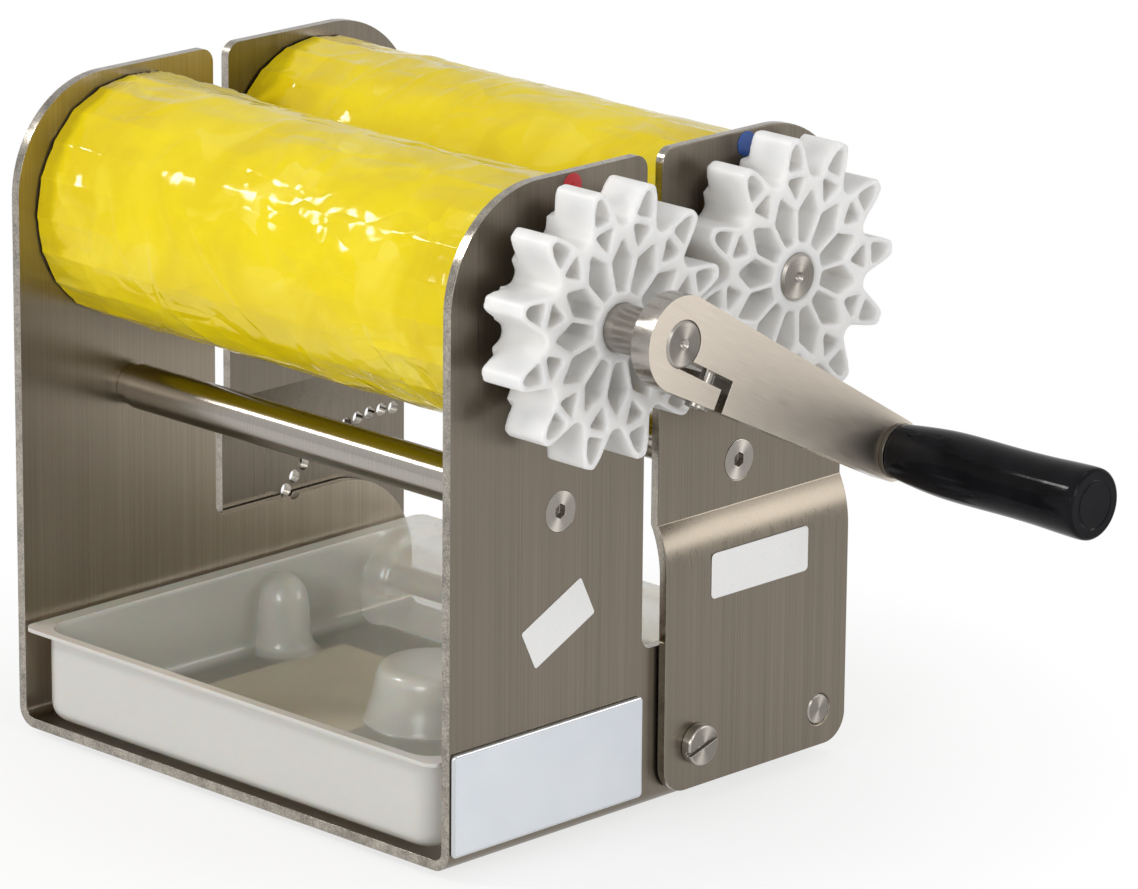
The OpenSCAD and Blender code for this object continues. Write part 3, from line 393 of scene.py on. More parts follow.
def brushed(name, colour, roughness, grain, fine=1300.0, long=6.0, streaks=0.15, band_share=0.25):
    """Brushed metal, its grain along a direction of the part."""
    s = Shader(name, metallic=1.0)
    grain = Vector(grain).normalized()
    side = grain.cross(Vector((1, 0, 0)) if abs(grain.x) < 0.9 else Vector((0, 1, 0))).normalized()
    other = grain.cross(side)
    place = s.place()
    scaled = s.join(
        s.vector("DOT_PRODUCT", place, tuple(grain * long)),
        s.vector("DOT_PRODUCT", place, tuple(side * fine)),
        s.vector("DOT_PRODUCT", place, tuple(other * fine))
    )
    wide = s.vector("MULTIPLY", scaled, (0.6, 0.12, 0.12))
    lines = s.noise(scaled, 1.0, 3.0, 0.6)
    bands = s.noise(wide, 1.0, 2.0, 0.5)
    clouds = s.noise(place, 9.0, 2.0, 0.5)
    mixed = s.math("ADD", s.math("MULTIPLY", lines, 1 - band_share), s.math("MULTIPLY", bands, band_share))
    s.set("Base Color", s.mottle(mixed, rgba(colour, 1 - streaks), rgba(colour, 1 + streaks), 0.3, 0.7))
    worn = s.math("ADD", mixed, s.math("MULTIPLY", clouds, 0.3))
    s.set("Roughness", s.between(worn, 0.4, 0.9, roughness - 0.05, roughness + 0.06))
    s.bump(lines, 0.05, 0.00004)
    s.groove(tuple(grain), 0.5)
    return s.material


def turned(name, colour, end_colour_painted_shade, roughness, centre, fine=2000.0, amount=0.8):
    """Metal turned on a lathe: fine rings round an axis along X through centre (y, z).

    Its end faces get a darker colour than the sides, which is painted shade, and two bright wedges, which
    are painted highlights as rings show under a lamp.
    """
    s = Shader(name, metallic=1.0)
    place = s.place()
    arm = s.vector("MULTIPLY", s.vector("SUBTRACT", place, (0, centre[0], centre[1])), (0, 1, 1))
    radius = s.vector("LENGTH", arm)
    rings = s.join(s.vector("DOT_PRODUCT", place, (fine, 0, 0)), s.math("MULTIPLY", radius, fine), 0.0)
    lines = s.noise(rings, 1.0, 3.0, 0.6)
    _, across, up = s.split(arm)
    leaning = s.math("ADD", s.math("ARCTAN2", up, across), -1.2)
    # Two bright wedges round the axis: painted highlight on the end faces
    painted_highlight_wedge = s.math("POWER", s.math("ABSOLUTE", s.math("COSINE", leaning)), 14.0)
    facing = s.math("ABSOLUTE", s.split(s.normal())[0])
    tone = s.between(lines, 0.3, 0.7, 0.0, 1.0)
    side = s.blend(tone, rgba(colour, 0.88), rgba(colour, 1.14))
    end_tone_painted_highlight = s.math("ADD", s.math("MULTIPLY", tone, 0.15), s.math("MULTIPLY", painted_highlight_wedge, 0.85))
    # End faces: the darker end colour as painted shade, lifted by the painted highlight wedges
    end = s.blend(end_tone_painted_highlight, rgba(end_colour_painted_shade, 0.9), rgba(end_colour_painted_shade, 2.3))
    s.set("Base Color", s.blend(s.between(facing, 0.9, 0.97, 0.0, 1.0), side, end))
    s.roughen(lines, roughness - 0.04, roughness + 0.04)
    s.bump(lines, 0.02, 0.00004)
    s.groove(s.vector("CROSS_PRODUCT", (1, 0, 0), arm), amount)
    return s.material


def plain_metal(name, colour, roughness):
    """Machined metal with fine scratches in no one direction."""
    s = Shader(name, metallic=1.0)
    place = s.place()
    fine = s.noise(place, 900.0, 4.0, 0.6, 0.6)
    clouds = s.noise(place, 60.0, 2.0, 0.5)
    s.set("Base Color", s.mottle(clouds, rgba(colour, 0.86), rgba(colour, 1.08)))
    s.roughen(fine, roughness - 0.06, roughness + 0.08)
    s.bump(fine, 0.10, 0.00005)
    return s.material


def ground_edge(name, colour, roughness):
    """Sheet edge ground smooth: bright, with fine dark and light specks."""
    s = Shader(name, metallic=1.0)
    place = s.place()
    specks = s.noise(place, 1500.0, 3.0, 0.65)
    worn = s.noise(place, 140.0, 3.0, 0.6)
    mixed = s.math("ADD", s.math("MULTIPLY", specks, 0.6), s.math("MULTIPLY", worn, 0.4))
    s.set("Base Color", s.mottle(mixed, rgba(colour, 0.6), rgba(colour, 1.5), 0.36, 0.64))
    s.roughen(worn, roughness - 0.05, roughness + 0.08)
    s.bump(specks, 0.25, 0.00006)
    return s.material


def moulded(name, colour, roughness, grain_scale=700.0, bump=0.08, variation=0.04, **sockets):
    """Moulded plastic or rubber with a faint grain and soft shade variation."""
    s = Shader(name, **sockets)
    place = s.place()
    fine = s.noise(place, grain_scale, 3.0, 0.55)
    clouds = s.noise(place, 25.0, 2.0, 0.5)
    s.set("Base Color", s.mottle(clouds, rgba(colour, 1 - variation), rgba(colour, 1 + variation)))
    s.roughen(fine, roughness - 0.04, roughness + 0.05)
    s.bump(fine, bump, 0.00006)
    return s.material


def gear_plastic():
    """Milky moulded plastic that light goes a little way into."""
    s = Shader("milky_plastic", subsurface_weight=1.0, subsurface_scale=0.009, specular_ior_level=0.4)
    s.principled.inputs["Subsurface Radius"].default_value = (1.0, 0.95, 0.88)
    place = s.place()
    fine = s.noise(place, 500.0, 3.0, 0.5)
    clouds = s.noise(place, 35.0, 2.0, 0.5)
    s.set("Base Color", s.mottle(clouds, (0.83, 0.82, 0.80, 1), (0.87, 0.862, 0.848, 1)))
    s.roughen(fine, 0.38, 0.5)
    s.bump(fine, 0.06, 0.00008)
    return s.material


def film_tail_mask(s, angle, along, tail_share):
    """1 on the loose clear tail at the top of the left end, and 0 elsewhere."""
    off_tail = s.math("DIVIDE", s.math("SUBTRACT", angle, FILM_TAIL_ANGLE), FILM_TAIL_HALF)
    beside = s.between(s.math("ABSOLUTE", off_tail), 0.6, 1.3, 1.0, 0.0)
    at_end = s.between(along, -70 * MM, -50 * MM, 1.0, 0.0)
    return s.math("MULTIPLY", s.math("MULTIPLY", beside, tail_share), at_end)


def film_tone(s, angle, along, clouds):
    """Soft clouds of shade, with the flats over the roller's ribs picked out near its ends."""
    flat = s.math("FLOOR", s.math("MULTIPLY", angle, FILM_FLATS / (2 * math.pi)))
    uneven = s.math("ADD", along, s.math("MULTIPLY", clouds, 0.02))
    length = s.math("FLOOR", s.math("MULTIPLY", uneven, 50.0))
    cell = s.join(flat, length, 0.0)
    patch = s.node("ShaderNodeTexWhiteNoise", {"Vector": cell}, noise_dimensions="3D").outputs["Value"]
    near_end = s.between(s.math("ABSOLUTE", along), 60 * MM, 100 * MM, 0.0, 1.0)
    soft = s.between(clouds, 0.36, 0.66, 0.0, 1.0)
    return s.math("SUBTRACT", soft, s.math("MULTIPLY", patch, near_end))


def film_cells(s, place):
    """The place bent and stretched along the roller, for creases that run that way."""
    bent = s.node("ShaderNodeTexNoise", {"Vector": place, "Scale": 30.0, "Detail": 2.0}).outputs["Color"]
    warped = s.vector("ADD", place, s.vector("MULTIPLY", bent, (0.03, 0.03, 0.03)))
    return s.vector("MULTIPLY", warped, (0.5, 1.0, 1.0))


def film_plastic(name, centre, tail_share):
    """Glossy creased film: pale facets of painted sheen, flats over the roller's ribs and a clear tail at
    one end.
    """
    s = Shader(name, specular_ior_level=0.24)
    place = s.place()
    along, across, up = s.split(place)
    angle = s.math("ARCTAN2", s.math("SUBTRACT", up, centre[1]), s.math("SUBTRACT", across, centre[0]))
    clouds = s.noise(place, 28.0, 3.0, 0.55, 0.8)
    clear = film_tail_mask(s, angle, along, tail_share)
    cells = film_cells(s, place)
    tone = film_tone(s, angle, along, clouds)
    colour = s.mottle(tone, (0.72, 0.545, 0.003, 1), (0.85, 0.68, 0.003, 1), -0.4, 1.0)
    # Pale facets: a lighter yellow painted on the creases as sheen
    facets = s.node("ShaderNodeTexVoronoi", {"Vector": cells, "Scale": 62.0}).outputs["Color"]
    painted_sheen_facets = s.between(s.split(facets)[0], 0.6, 0.95, 0.0, 1.0)
    pale = s.math("MULTIPLY", painted_sheen_facets, s.between(clouds, 0.42, 0.6, 0.0, 0.7))
    colour = s.blend(pale, colour, (0.87, 0.73, 0.075, 1))
    s.set("Base Color", s.blend(clear, colour, (0.54, 0.44, 0.09, 1)))
    s.roughen(clouds, 0.07, 0.12)
    ridges = s.node("ShaderNodeTexVoronoi", {"Vector": cells, "Scale": 42.0}, feature="DISTANCE_TO_EDGE")
    creases = s.between(ridges.outputs["Distance"], 0.0, 0.3, 0.0, 1.0)
    patches = s.between(s.noise(place, 13.0, 2.0, 0.5), 0.40, 0.58, 0.0, 1.0)
    s.bump(s.math("MULTIPLY", creases, patches), 0.9, 0.0009)
    s.bump(s.noise(place, 400.0, 3.0, 0.6), s.math("MULTIPLY", clear, 0.9), 0.0007)
    return s.material


def frosted_plastic():
    """Frosted sheet plastic, clearest on its floor and milkiest at its front, with a lighter colour behind
    the front as painted light in the tray's hollow.
    """
    s = Shader("frosted_plastic", subsurface_weight=0.35, subsurface_scale=0.004, specular_ior_level=0.8)
    place = s.place()
    fine = s.noise(place, 120.0, 2.0, 0.5)
    s.roughen(fine, 0.19, 0.24)
    _, across, up = s.split(place)
    level = s.between(s.math("ABSOLUTE", s.split(s.normal())[2]), 0.5, 0.95, 0.0, 1.0)
    on_floor = s.math("MULTIPLY", level, s.between(up, *HAZE_FLOOR_Z, 1.0, 0.0))
    in_front = s.between(across, *HAZE_FRONT_Y, 1.0, 0.0)
    clouds = s.noise(place, 14.0, 2.0, 0.5)
    # Lighter colour everywhere but the front: painted light in the tray's hollow
    inside = s.mottle(clouds, (0.93, 0.905, 0.85, 1), (0.97, 0.95, 0.90, 1))
    s.set("Base Color", s.blend(in_front, inside, (0.70, 0.695, 0.67, 1)))
    haze = s.math("ADD", HAZE_INSIDE, s.math("MULTIPLY", in_front, HAZE_FRONT - HAZE_INSIDE))
    s.set("Alpha", s.math("SUBTRACT", haze, s.math("MULTIPLY", on_floor, HAZE_INSIDE - HAZE_FLOOR)))
    return s.material


def black_plastic(name):
    """Glossy black plastic with a slight ripple, as the grip and the knob have."""
    s = Shader(name, specular_ior_level=0.08)
    place = s.place()
    ripple = s.noise(place, 55.0, 1.0, 0.4)
    s.set("Base Color", s.mottle(ripple, (0.004, 0.004, 0.005, 1), (0.009, 0.009, 0.011, 1)))
    s.roughen(s.noise(place, 300.0, 3.0, 0.6), 0.06, 0.12)
    s.bump(ripple, 0.05, 0.0006)
    return s.material


def plate_foil():
    """Pale glossy plate with a thin silver line round its edge."""
    low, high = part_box("name_plate")
    middle, half = (low + high) / 2, (high - low) / 2
    rim = 1.1 * MM
    s = Shader("plate_foil", coat_weight=0.8, coat_roughness=0.03)
    place = s.place()
    _, across, up = s.split(s.vector("SUBTRACT", place, tuple(middle)))
    over_y = s.math("GREATER_THAN", s.math("ABSOLUTE", across), half.y - rim)
    over_z = s.math("GREATER_THAN", s.math("ABSOLUTE", up), half.z - rim)
    edge = s.math("MAXIMUM", over_y, over_z)
    clouds = s.noise(place, 22.0, 2.0, 0.5)
    pale = s.mottle(clouds, (0.66, 0.70, 0.76, 1), (0.74, 0.78, 0.83, 1))
    s.set("Base Color", s.blend(edge, pale, (0.58, 0.60, 0.62, 1)))
    s.set("Metallic", s.math("MULTIPLY", edge, 0.9))
    s.roughen(s.noise(place, 300.0, 2.0, 0.5), 0.16, 0.24)
    s.bump(s.noise(place, 60.0, 2.0, 0.5), 0.06, 0.0004)
    return s.material


# Yellow film sleeves

def film_tail(grid_x, grid_a, rng):
    """Height of a crumpled loose tail of film at the top of the left end."""
    crumple = np.zeros_like(grid_x)
    for _ in range(FILM_CRUMPLES):
        kx, ka = rng.uniform(20, 120), rng.integers(10, 60)
        wave = np.cos(kx * math.pi * grid_x + ka * grid_a + rng.uniform(0, 6.28))
        crumple += np.abs(wave) / FILM_CRUMPLES
    share = np.clip((FILM_TAIL_FROM - grid_x) / FILM_TAIL_RAMP, 0, 1)
    across = np.clip(1.25 - np.abs(grid_a - FILM_TAIL_ANGLE) / FILM_TAIL_HALF, 0, 1)
    return share * across * (1.2 + 5.0 * (crumple - 0.62)) * MM


def film_flats(grid_x, grid_a, radius, half):
    """Height of the film where it spans the roller's ribs, most at the roller's ends."""
    rib_angle = 2 * math.pi / FILM_FLATS
    phase = (grid_a % rib_angle) - rib_angle / 2
    flats = radius * (math.cos(rib_angle / 2) / np.cos(phase) - 1)
    ends = np.clip((np.abs(grid_x) - (half - 55 * MM)) / (40 * MM), 0, 1)
    return flats * (0.35 + 1.0 * ends)


def film_fold(grid_x, grid_a, radius, half, rng):
    """Height of one fold at a random place: steep on one flank and gentle on the other."""
    centre_x = rng.uniform(-half, half)
    centre_a = rng.uniform(0, 2 * math.pi)
    lean = rng.normal(0.0, 0.8) + (0.9 if rng.random() < 0.45 else 0.0)
    length = rng.uniform(10, 42) * MM
    steep = rng.uniform(1.5, 5.0) * MM
    gentle = steep * rng.uniform(1.5, 5.0)
    tall = rng.uniform(0.08, 0.42) * MM * (1 if rng.random() < 0.75 else -0.7)
    dx = grid_x - centre_x
    da = radius * ((grid_a - centre_a + math.pi) % (2 * math.pi) - math.pi)
    along = dx * math.cos(lean) + da * math.sin(lean)
    side = -dx * math.sin(lean) + da * math.cos(lean)
    flank = np.where(side > 0, side / steep, -side / gentle)
    return tall * np.clip(1 - flank, 0, 1) * np.clip(1 - (along / length) ** 2, 0, 1)


def film_heights(xs, angles, radius, seed, tail_share):
    """Height of the film over its ribbed roller, on a grid of places along and round it."""
    rng = np.random.default_rng(seed)
    half = xs.max()
    grid_x, grid_a = np.meshgrid(xs, angles, indexing="ij")
    height = film_flats(grid_x, grid_a, radius, half)
    for _ in range(FILM_FOLDS):
        height += film_fold(grid_x, grid_a, radius, half, rng)
    waves = np.zeros_like(height)
    for _ in range(FILM_WAVES):
        kx, ka = rng.uniform(4, 40), rng.integers(2, 14)
        wave = np.cos(kx * 2 * math.pi * grid_x + ka * grid_a + rng.uniform(0, 6.28))
        waves += wave * rng.uniform(0.01, 0.03) * MM
    return height + waves + tail_share * film_tail(grid_x, grid_a, rng)


def film_points(xs, angles, radii, ragged, centre):
    """Points of a skin with these radii, its ends shifted along X by the ragged amount."""
    y = centre[0] + radii * np.cos(angles)[None, :]
    z = centre[1] + radii * np.sin(angles)[None, :]
    at_end = np.abs(xs[:, None]) > xs.max() - 3 * MM
    x = np.repeat(xs[:, None], len(angles), axis=1) + ragged * at_end
    return np.stack([x, y, z], axis=-1).reshape(-1, 3)


def film_faces():
    """Quads of the outer skin, then of both ends and of the bore, which is one quad long."""
    faces = []
    for i in range(FILM_COLUMNS - 1):
        for j in range(FILM_ROWS):
            k = (j + 1) % FILM_ROWS
            here, on = i * FILM_ROWS, (i + 1) * FILM_ROWS
            faces.append((here + j, here + k, on + k, on + j))
    last = (FILM_COLUMNS - 1) * FILM_ROWS
    bore = FILM_COLUMNS * FILM_ROWS
    for j in range(FILM_ROWS):
        k = (j + 1) % FILM_ROWS
        faces.append((k, j, bore + j, bore + k))
        faces.append((last + j, last + k, bore + last + k, bore + last + j))
        faces.append((bore + k, bore + j, bore + last + j, bore + last + k))
    return faces


def film_sleeve(node, centre, seed, tail_share):
    """A creased sleeve of film with ragged ends. Where tail_share is 1, it has the loose tail."""
    low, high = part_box(node)
    radius = (high.z - low.z) / 2
    inner = radius - FILM_SINK
    xs = np.linspace(low.x - FILM_OVER_END, high.x + FILM_OVER_END, FILM_COLUMNS)
    angles = np.linspace(0, 2 * math.pi, FILM_ROWS, endpoint=False)
    outer = radius + FILM_LIFT + film_heights(xs, angles, radius, seed, tail_share)
    outer = np.maximum(outer, inner + FILM_LEAST)
    rng = np.random.default_rng(seed + 1)
    ragged = sum(np.cos(angles * k + rng.uniform(0, 6.28)) for k in (3, 7, 12, 19, 31)) * 0.08 * MM
    skins = [film_points(xs, angles, r, ragged, centre) for r in (outer, np.full_like(outer, inner))]
    piece = mesh_object("film_on_" + node, np.concatenate(skins), film_faces())
    bm = bmesh.new()
    bm.from_mesh(piece.data)
    loose = [v for v in bm.verts if not v.link_faces]
    bmesh.ops.delete(bm, geom=loose, context="VERTS")
    bmesh.ops.recalc_face_normals(bm, faces=bm.faces)
    bm.to_mesh(piece.data)
    bm.free()
    stand_for(piece, node, film_plastic("yellow_" + node, centre, tail_share))
    shade(piece, 60, weighted=False)


# Tray

def cube_between(name, low, high):
    bm = bmesh.new()
    bmesh.ops.create_cube(bm, size=1.0)
    low, high = Vector(low), Vector(high)
    bmesh.ops.scale(bm, vec=high - low, verts=bm.verts)
    bmesh.ops.translate(bm, vec=(low + high) / 2, verts=bm.verts)
    mesh = bpy.data.meshes.new(name)
    bm.to_mesh(mesh)
    bm.free()
    return add_object(name, mesh)


def extruded_x(name, outline, x0, x1):
    """A closed outline of (y, z) points, extruded from x0 to x1."""
    count = len(outline)
    verts = [(x0, y, z) for y, z in outline] + [(x1, y, z) for y, z in outline]
    faces = [tuple(range(count)), tuple(range(2 * count - 1, count - 1, -1))]
    faces += [(i, i + count, (i + 1) % count + count, (i + 1) % count) for i in range(count)]
    piece = mesh_object(name, verts, faces)
    bm = bmesh.new()
    bm.from_mesh(piece.data)
    bmesh.ops.recalc_face_normals(bm, faces=bm.faces)
    bm.to_mesh(piece.data)
    bm.free()
    return piece


def lathe_z(name, profile, steps, centre):
    """Turns a profile of (radius, z) points, the ends on the axis, round the Z axis at centre (x, y)."""
    verts, faces = [], []
    rings = profile[1:-1]
    for radius, z in rings:
        for i in range(steps):
            angle = 2 * math.pi * i / steps
            verts.append((centre[0] + radius * math.cos(angle), centre[1] + radius * math.sin(angle), z))
    bottom, top = len(verts), len(verts) + 1
    verts += [(*centre, profile[0][1]), (*centre, profile[-1][1])]
    for j in range(len(rings) - 1):
        for i in range(steps):
            k = (i + 1) % steps
            faces.append((j * steps + i, j * steps + k, (j + 1) * steps + k, (j + 1) * steps + i))
    last = (len(rings) - 1) * steps
    for i in range(steps):
        k = (i + 1) % steps
        faces.append((bottom, k, i))
        faces.append((top, last + i, last + k))
    return mesh_object(name, verts, faces)


def quarter(step, last=90):
    """Angles in radians from 0 to the last one, given in degrees."""
    return [math.radians(a) for a in range(0, last + 1, step)]


def arch_outline(radius):
    """Everything below and behind a round arch over the hinge axle, as (y, z) points."""
    y, z = HINGE_AXLE
    behind, below = y + 60 * MM, -50 * MM
    arc = [(y - radius * math.cos(a), z + radius * math.sin(a)) for a in quarter(6)]
    return [(y - radius, below)] + arc + [(behind, z + radius), (behind, below)]


def post_profile():
    """Half outline of a post's hollow: a flared foot, a straight side and a domed top."""
    radius = POST_RADIUS - TRAY_WALL
    foot = [
        (radius + 6 * MM, 0), (radius + 5 * MM, 8 * MM), (radius + 2 * MM, 11 * MM),
        (radius + 0.6 * MM, 16 * MM)
    ]
    dome = [
        (radius * math.cos(a), POST_DOME_FROM + POST_DOME_RISE * math.sin(a)) for a in quarter(8, last=84)
    ]
    return [(0, 0)] + foot + dome + [(0, POST_DOME_FROM + POST_DOME_RISE)]


def boss_profile():
    """Half outline of the round boss in the middle of the floor, which narrows upwards."""
    side = [(29 * MM, 0), (26.3 * MM, 8 * MM), (22.6 * MM, 19 * MM), (20.5 * MM, BOSS_TOP)]
    return [(0, 0)] + side + [(0, BOSS_TOP)]


def tray_cutters():
    """What is cut from the tray's block from below: the arch, the two posts and the boss."""
    end_x = TRAY_HALF_X - ARCH_END_LENGTH
    middle = arch_outline(ARCH_RADIUS - TRAY_WALL)
    wide = arch_outline(ARCH_END_RADIUS - TRAY_WALL)
    cutters = [extruded_x("arch_middle", middle, -PAST_TRAY, PAST_TRAY)]
    for side in (-1, 1):
        cutters.append(extruded_x("arch_end", wide, *sorted((side * end_x, side * PAST_TRAY))))
        cutters.append(lathe_z("post", post_profile(), 48, (side * POST_PLACE[0], POST_PLACE[1])))
    cutters.append(lathe_z("boss", boss_profile(), 72, BOSS_PLACE))
    return cutters


def tray_block(low, high):
    """The tray's outside as a solid block, a little taller than the tray."""
    over_rim = 9 * MM
    first = (-TRAY_HALF_X, low.y + TRAY_FLANGE_Y, low.z)
    last = (TRAY_HALF_X, high.y - TRAY_FLANGE_Y, high.z + over_rim)
    block = cube_between("tray_block", first, last)
    bm = bmesh.new()
    bm.from_mesh(block.data)
    upright = [e for e in bm.edges if abs(e.verts[0].co.z - e.verts[1].co.z) > 1 * MM]
    bmesh.ops.bevel(bm, geom=upright, offset=TRAY_CORNER, segments=10, profile=0.5, affect="EDGES")
    floor = [e for e in bm.edges if max(v.co.z for v in e.verts) < low.z + 0.01 * MM]
    bmesh.ops.bevel(bm, geom=floor, offset=TRAY_FLOOR_CORNER, segments=6, profile=0.5, affect="EDGES")
    bm.to_mesh(block.data)
    bm.free()
    cutters = tray_cutters()
    for cutter in cutters:
        modifier = block.modifiers.new("cut", "BOOLEAN")
        modifier.operation = "DIFFERENCE"
        modifier.solver = "EXACT"
        modifier.object = cutter
    remesh = block.modifiers.new("even mesh", "REMESH")
    remesh.mode = "VOXEL"
    remesh.voxel_size = TRAY_VOXEL
    apply_modifiers(block)
    for cutter in cutters:
        bpy.data.objects.remove(cutter)
    return block


def flange_point(p, half_wall, half_flange, corner):
    """Where a point on the wall's rounded outline goes on the flange's sharper outline."""
    straight = [h - TRAY_CORNER for h in half_wall]
    over = [abs(c) - s for c, s in zip(p, straight)]
    angle = math.atan2(max(over[1], 0), max(over[0], 0)) if max(over) > 0 else 0
    arc = (math.cos(angle), math.sin(angle))
    out = []
    for i in range(2):
        reach = half_flange[i] - corner
        if min(over) > 0:
            size = reach + corner * arc[i]
        elif over[i] > TRAY_CORNER * 0.8:
            size = half_flange[i]
        else:
            size = abs(p[i]) * reach / straight[i]
        out.append(math.copysign(size, p[i]))
    return out


def tray_skin(block, high):
    """Turns the block into the tray's outer skin: softened, open at the top, with a flange round it."""
    rim = high.z - TRAY_WALL
    bm = bmesh.new()
    bm.from_mesh(block.data)
    for _ in range(TRAY_SOFTENING):
        bmesh.ops.smooth_vert(
            bm, verts=bm.verts, factor=0.5, use_axis_x=True, use_axis_y=True, use_axis_z=True
        )
    geometry = bm.verts[:] + bm.edges[:] + bm.faces[:]
    bmesh.ops.bisect_plane(bm, geom=geometry, plane_co=(0, 0, rim), plane_no=(0, 0, 1), clear_outer=True)
    bmesh.ops.remove_doubles(bm, verts=bm.verts, dist=0.15 * MM)
    boundary = [e for e in bm.edges if e.is_boundary]
    grown = bmesh.ops.extrude_edge_only(bm, edges=boundary)
    half_wall = (TRAY_HALF_X, high.y - TRAY_FLANGE_Y)
    for v in [g for g in grown["geom"] if isinstance(g, bmesh.types.BMVert)]:
        v.co.x, v.co.y = flange_point(v.co.xy, half_wall, (high.x, high.y), TRAY_FLANGE_CORNER)
        v.co.z = rim
    bmesh.ops.recalc_face_normals(bm, faces=bm.faces)
    floor = min(bm.faces, key=lambda f: f.calc_center_median().z)
    if floor.normal.z > 0:
        bmesh.ops.reverse_faces(bm, faces=bm.faces)
    bm.to_mesh(block.data)
    bm.free()


def frosted_tray(material):
    """The tray as a thin softened shell with a flange, cut and hollowed from one block."""
    low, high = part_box("tray")
    tray = tray_block(low, high)
    tray_skin(tray, high)
    tray.name = "frosted_tray"
    wall = tray.modifiers.new("wall", "SOLIDIFY")
    wall.thickness = TRAY_WALL
    wall.offset = -1
    apply_modifiers(tray)
    stand_for(tray, "tray", material)
    shade(tray, 50)


# Grip

def crank_grip(material):
    """The grip turned from a profile of (share of the length, radius in mm) points."""
    low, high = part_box("grip")
    length = high.x - low.x
    points = [
        (0.0, 10.2), (0.008, 10.65), (0.04, 11.0), (0.1, 11.65), (0.17, 12.3), (0.25, 12.8), (0.34, 13.0),
        (0.45, 12.95), (0.56, 12.85), (0.66, 12.9), (0.76, 13.1), (0.86, 13.5), (0.95, 13.75),
        (0.983, 13.6), (0.994, 13.2), (1.0, 12.5)
    ]
    profile = [(low.x + share * length, radius * MM) for share, radius in smooth_profile(points, 4)]
    cap_seat = [(high.x, 9.4 * MM), (high.x - 0.25 * MM, 8.9 * MM)]
    piece = lathe("black_grip", profile + cap_seat, 96, middle_yz("grip"))
    stand_for(piece, "grip", material)


# All pieces

def on_rim(face):
    """Whether a face is on a plate's rim and not on its flat sides, which face along X."""
    return abs(face.normal.x) < 0.6


def dress_sheets():
    upright = brushed("brushed_sheet", STEEL, 0.30, (0, 0, 1))
    edge = ground_edge("sheet_edge", EDGE_STEEL, 0.17)
    # A lighter copy of the sheet steel: painted light for the left plate's inner face
    shaded = brushed("brushed_sheet_inside_painted_light", INSIDE_STEEL_PAINTED_LIGHT, 0.33, (0, 0, 1))

    def frame_edge(face):
        """The rims of the side plates, and the front and rear edges of the base."""
        over_base = face.calc_center_median().z > 14 * MM
        return on_rim(face) and (over_base or abs(face.normal.y) > 0.5)

    front = dressed("front_frame", 0.55 * MM, upright, edge, edge_faces=frame_edge)
    front.data.materials.append(shaded)
    # The left plate's inner face takes the lighter steel: painted light
    for polygon in front.data.polygons:
        if polygon.center.x < 0 and polygon.normal.x > 0.9:
            polygon.material_index = 2
    for node in ("rear_plate_left", "rear_plate_right"):
        dressed(node, 0.7 * MM, upright, edge, edge_faces=on_rim, least_angle=20, segments=3)
    dressed("gap_lever", 0.5 * MM, upright)


def dress_turned():
    axes = {
        "front_tie_rod": FRONT_ROD, "rear_tie_rod": REAR_ROD, "front_shaft": FRONT_AXIS,
        "rear_shaft": REAR_AXIS, "hinge_axle": HINGE_AXLE, "pivot_screws": PIVOTS
    }
    for node, centre in axes.items():
        rough = 0.2 if "tie_rod" in node else 0.3
        dressed(node, 0.35 * MM, turned("turned_" + node, LIGHT_STEEL, END_STEEL_PAINTED_SHADE, rough, centre))
    for node in ("front_tie_screws", "rear_tie_screws"):
        centre = middle_yz(node)
        steel = turned("turned_" + node, LIGHT_STEEL, SCREW_END_PAINTED_SHADE, 0.26, centre, amount=0.5)
        dressed(node, 0.25 * MM, steel)
    lever_steel = plain_metal("lever_steel", LIGHT_STEEL, 0.26)
    for node in ("index_bush", "index_pin"):
        dressed(node, 0.2 * MM, lever_steel)
    # Washer colour is partly its own dark steel, partly painted shade under the grip
    dressed("grip_washer", 0.3 * MM, plain_metal("grip_washer_steel_and_shade", DARK_STEEL_AND_SHADE, 0.3))


def dress_small():
    screw = plain_metal("screw_steel", SMALL_STEEL, 0.28)
    spring = plain_metal("spring_steel", SPRING_STEEL, 0.34)
    for node in (
        "front_roller_pins", "rear_roller_pins", "front_gear_pin", "rear_gear_pin", "crank_clamp_screw",
        "grip_bolt", "pivot_nuts", "lever_screw", "lever_washer"
    ):
        dressed(node, 0.2 * MM, screw)
    for node in ("front_retaining_ring", "rear_retaining_ring"):
        dressed(node, 0.15 * MM, spring)
    bush = moulded("bush_plastic", (0.80, 0.79, 0.74), 0.42)
    for node in ("front_bushes", "rear_bushes", "pivot_washers"):
        dressed(node, 0.2 * MM, bush)
    cream = moulded("roller_plastic", (0.82, 0.78, 0.66), 0.45)
    for node in ("front_roller", "rear_roller", "front_roller_hubs", "rear_roller_hubs"):
        dressed(node, 0.3 * MM, cream)
    rubber = moulded("foot_rubber", (0.02, 0.02, 0.02), 0.62, grain_scale=1200.0, bump=0.2, variation=0.2)
    dressed("rubber_feet", 0.5 * MM, rubber)
    black = black_plastic("knob_plastic")
    dressed("index_knob", 0.8 * MM, black, segments=3)
    dressed("grip_cap", 0.25 * MM, black)
    crank_grip(black_plastic("grip_plastic"))


def dress_gears():
    milky = gear_plastic()
    for node in ("front_gear", "rear_gear"):
        soft_moulding(node, milky, 0.75 * MM, 8)
    for node in ("front_gear_spacer", "rear_gear_spacer"):
        dressed(node, 0.4 * MM, milky)


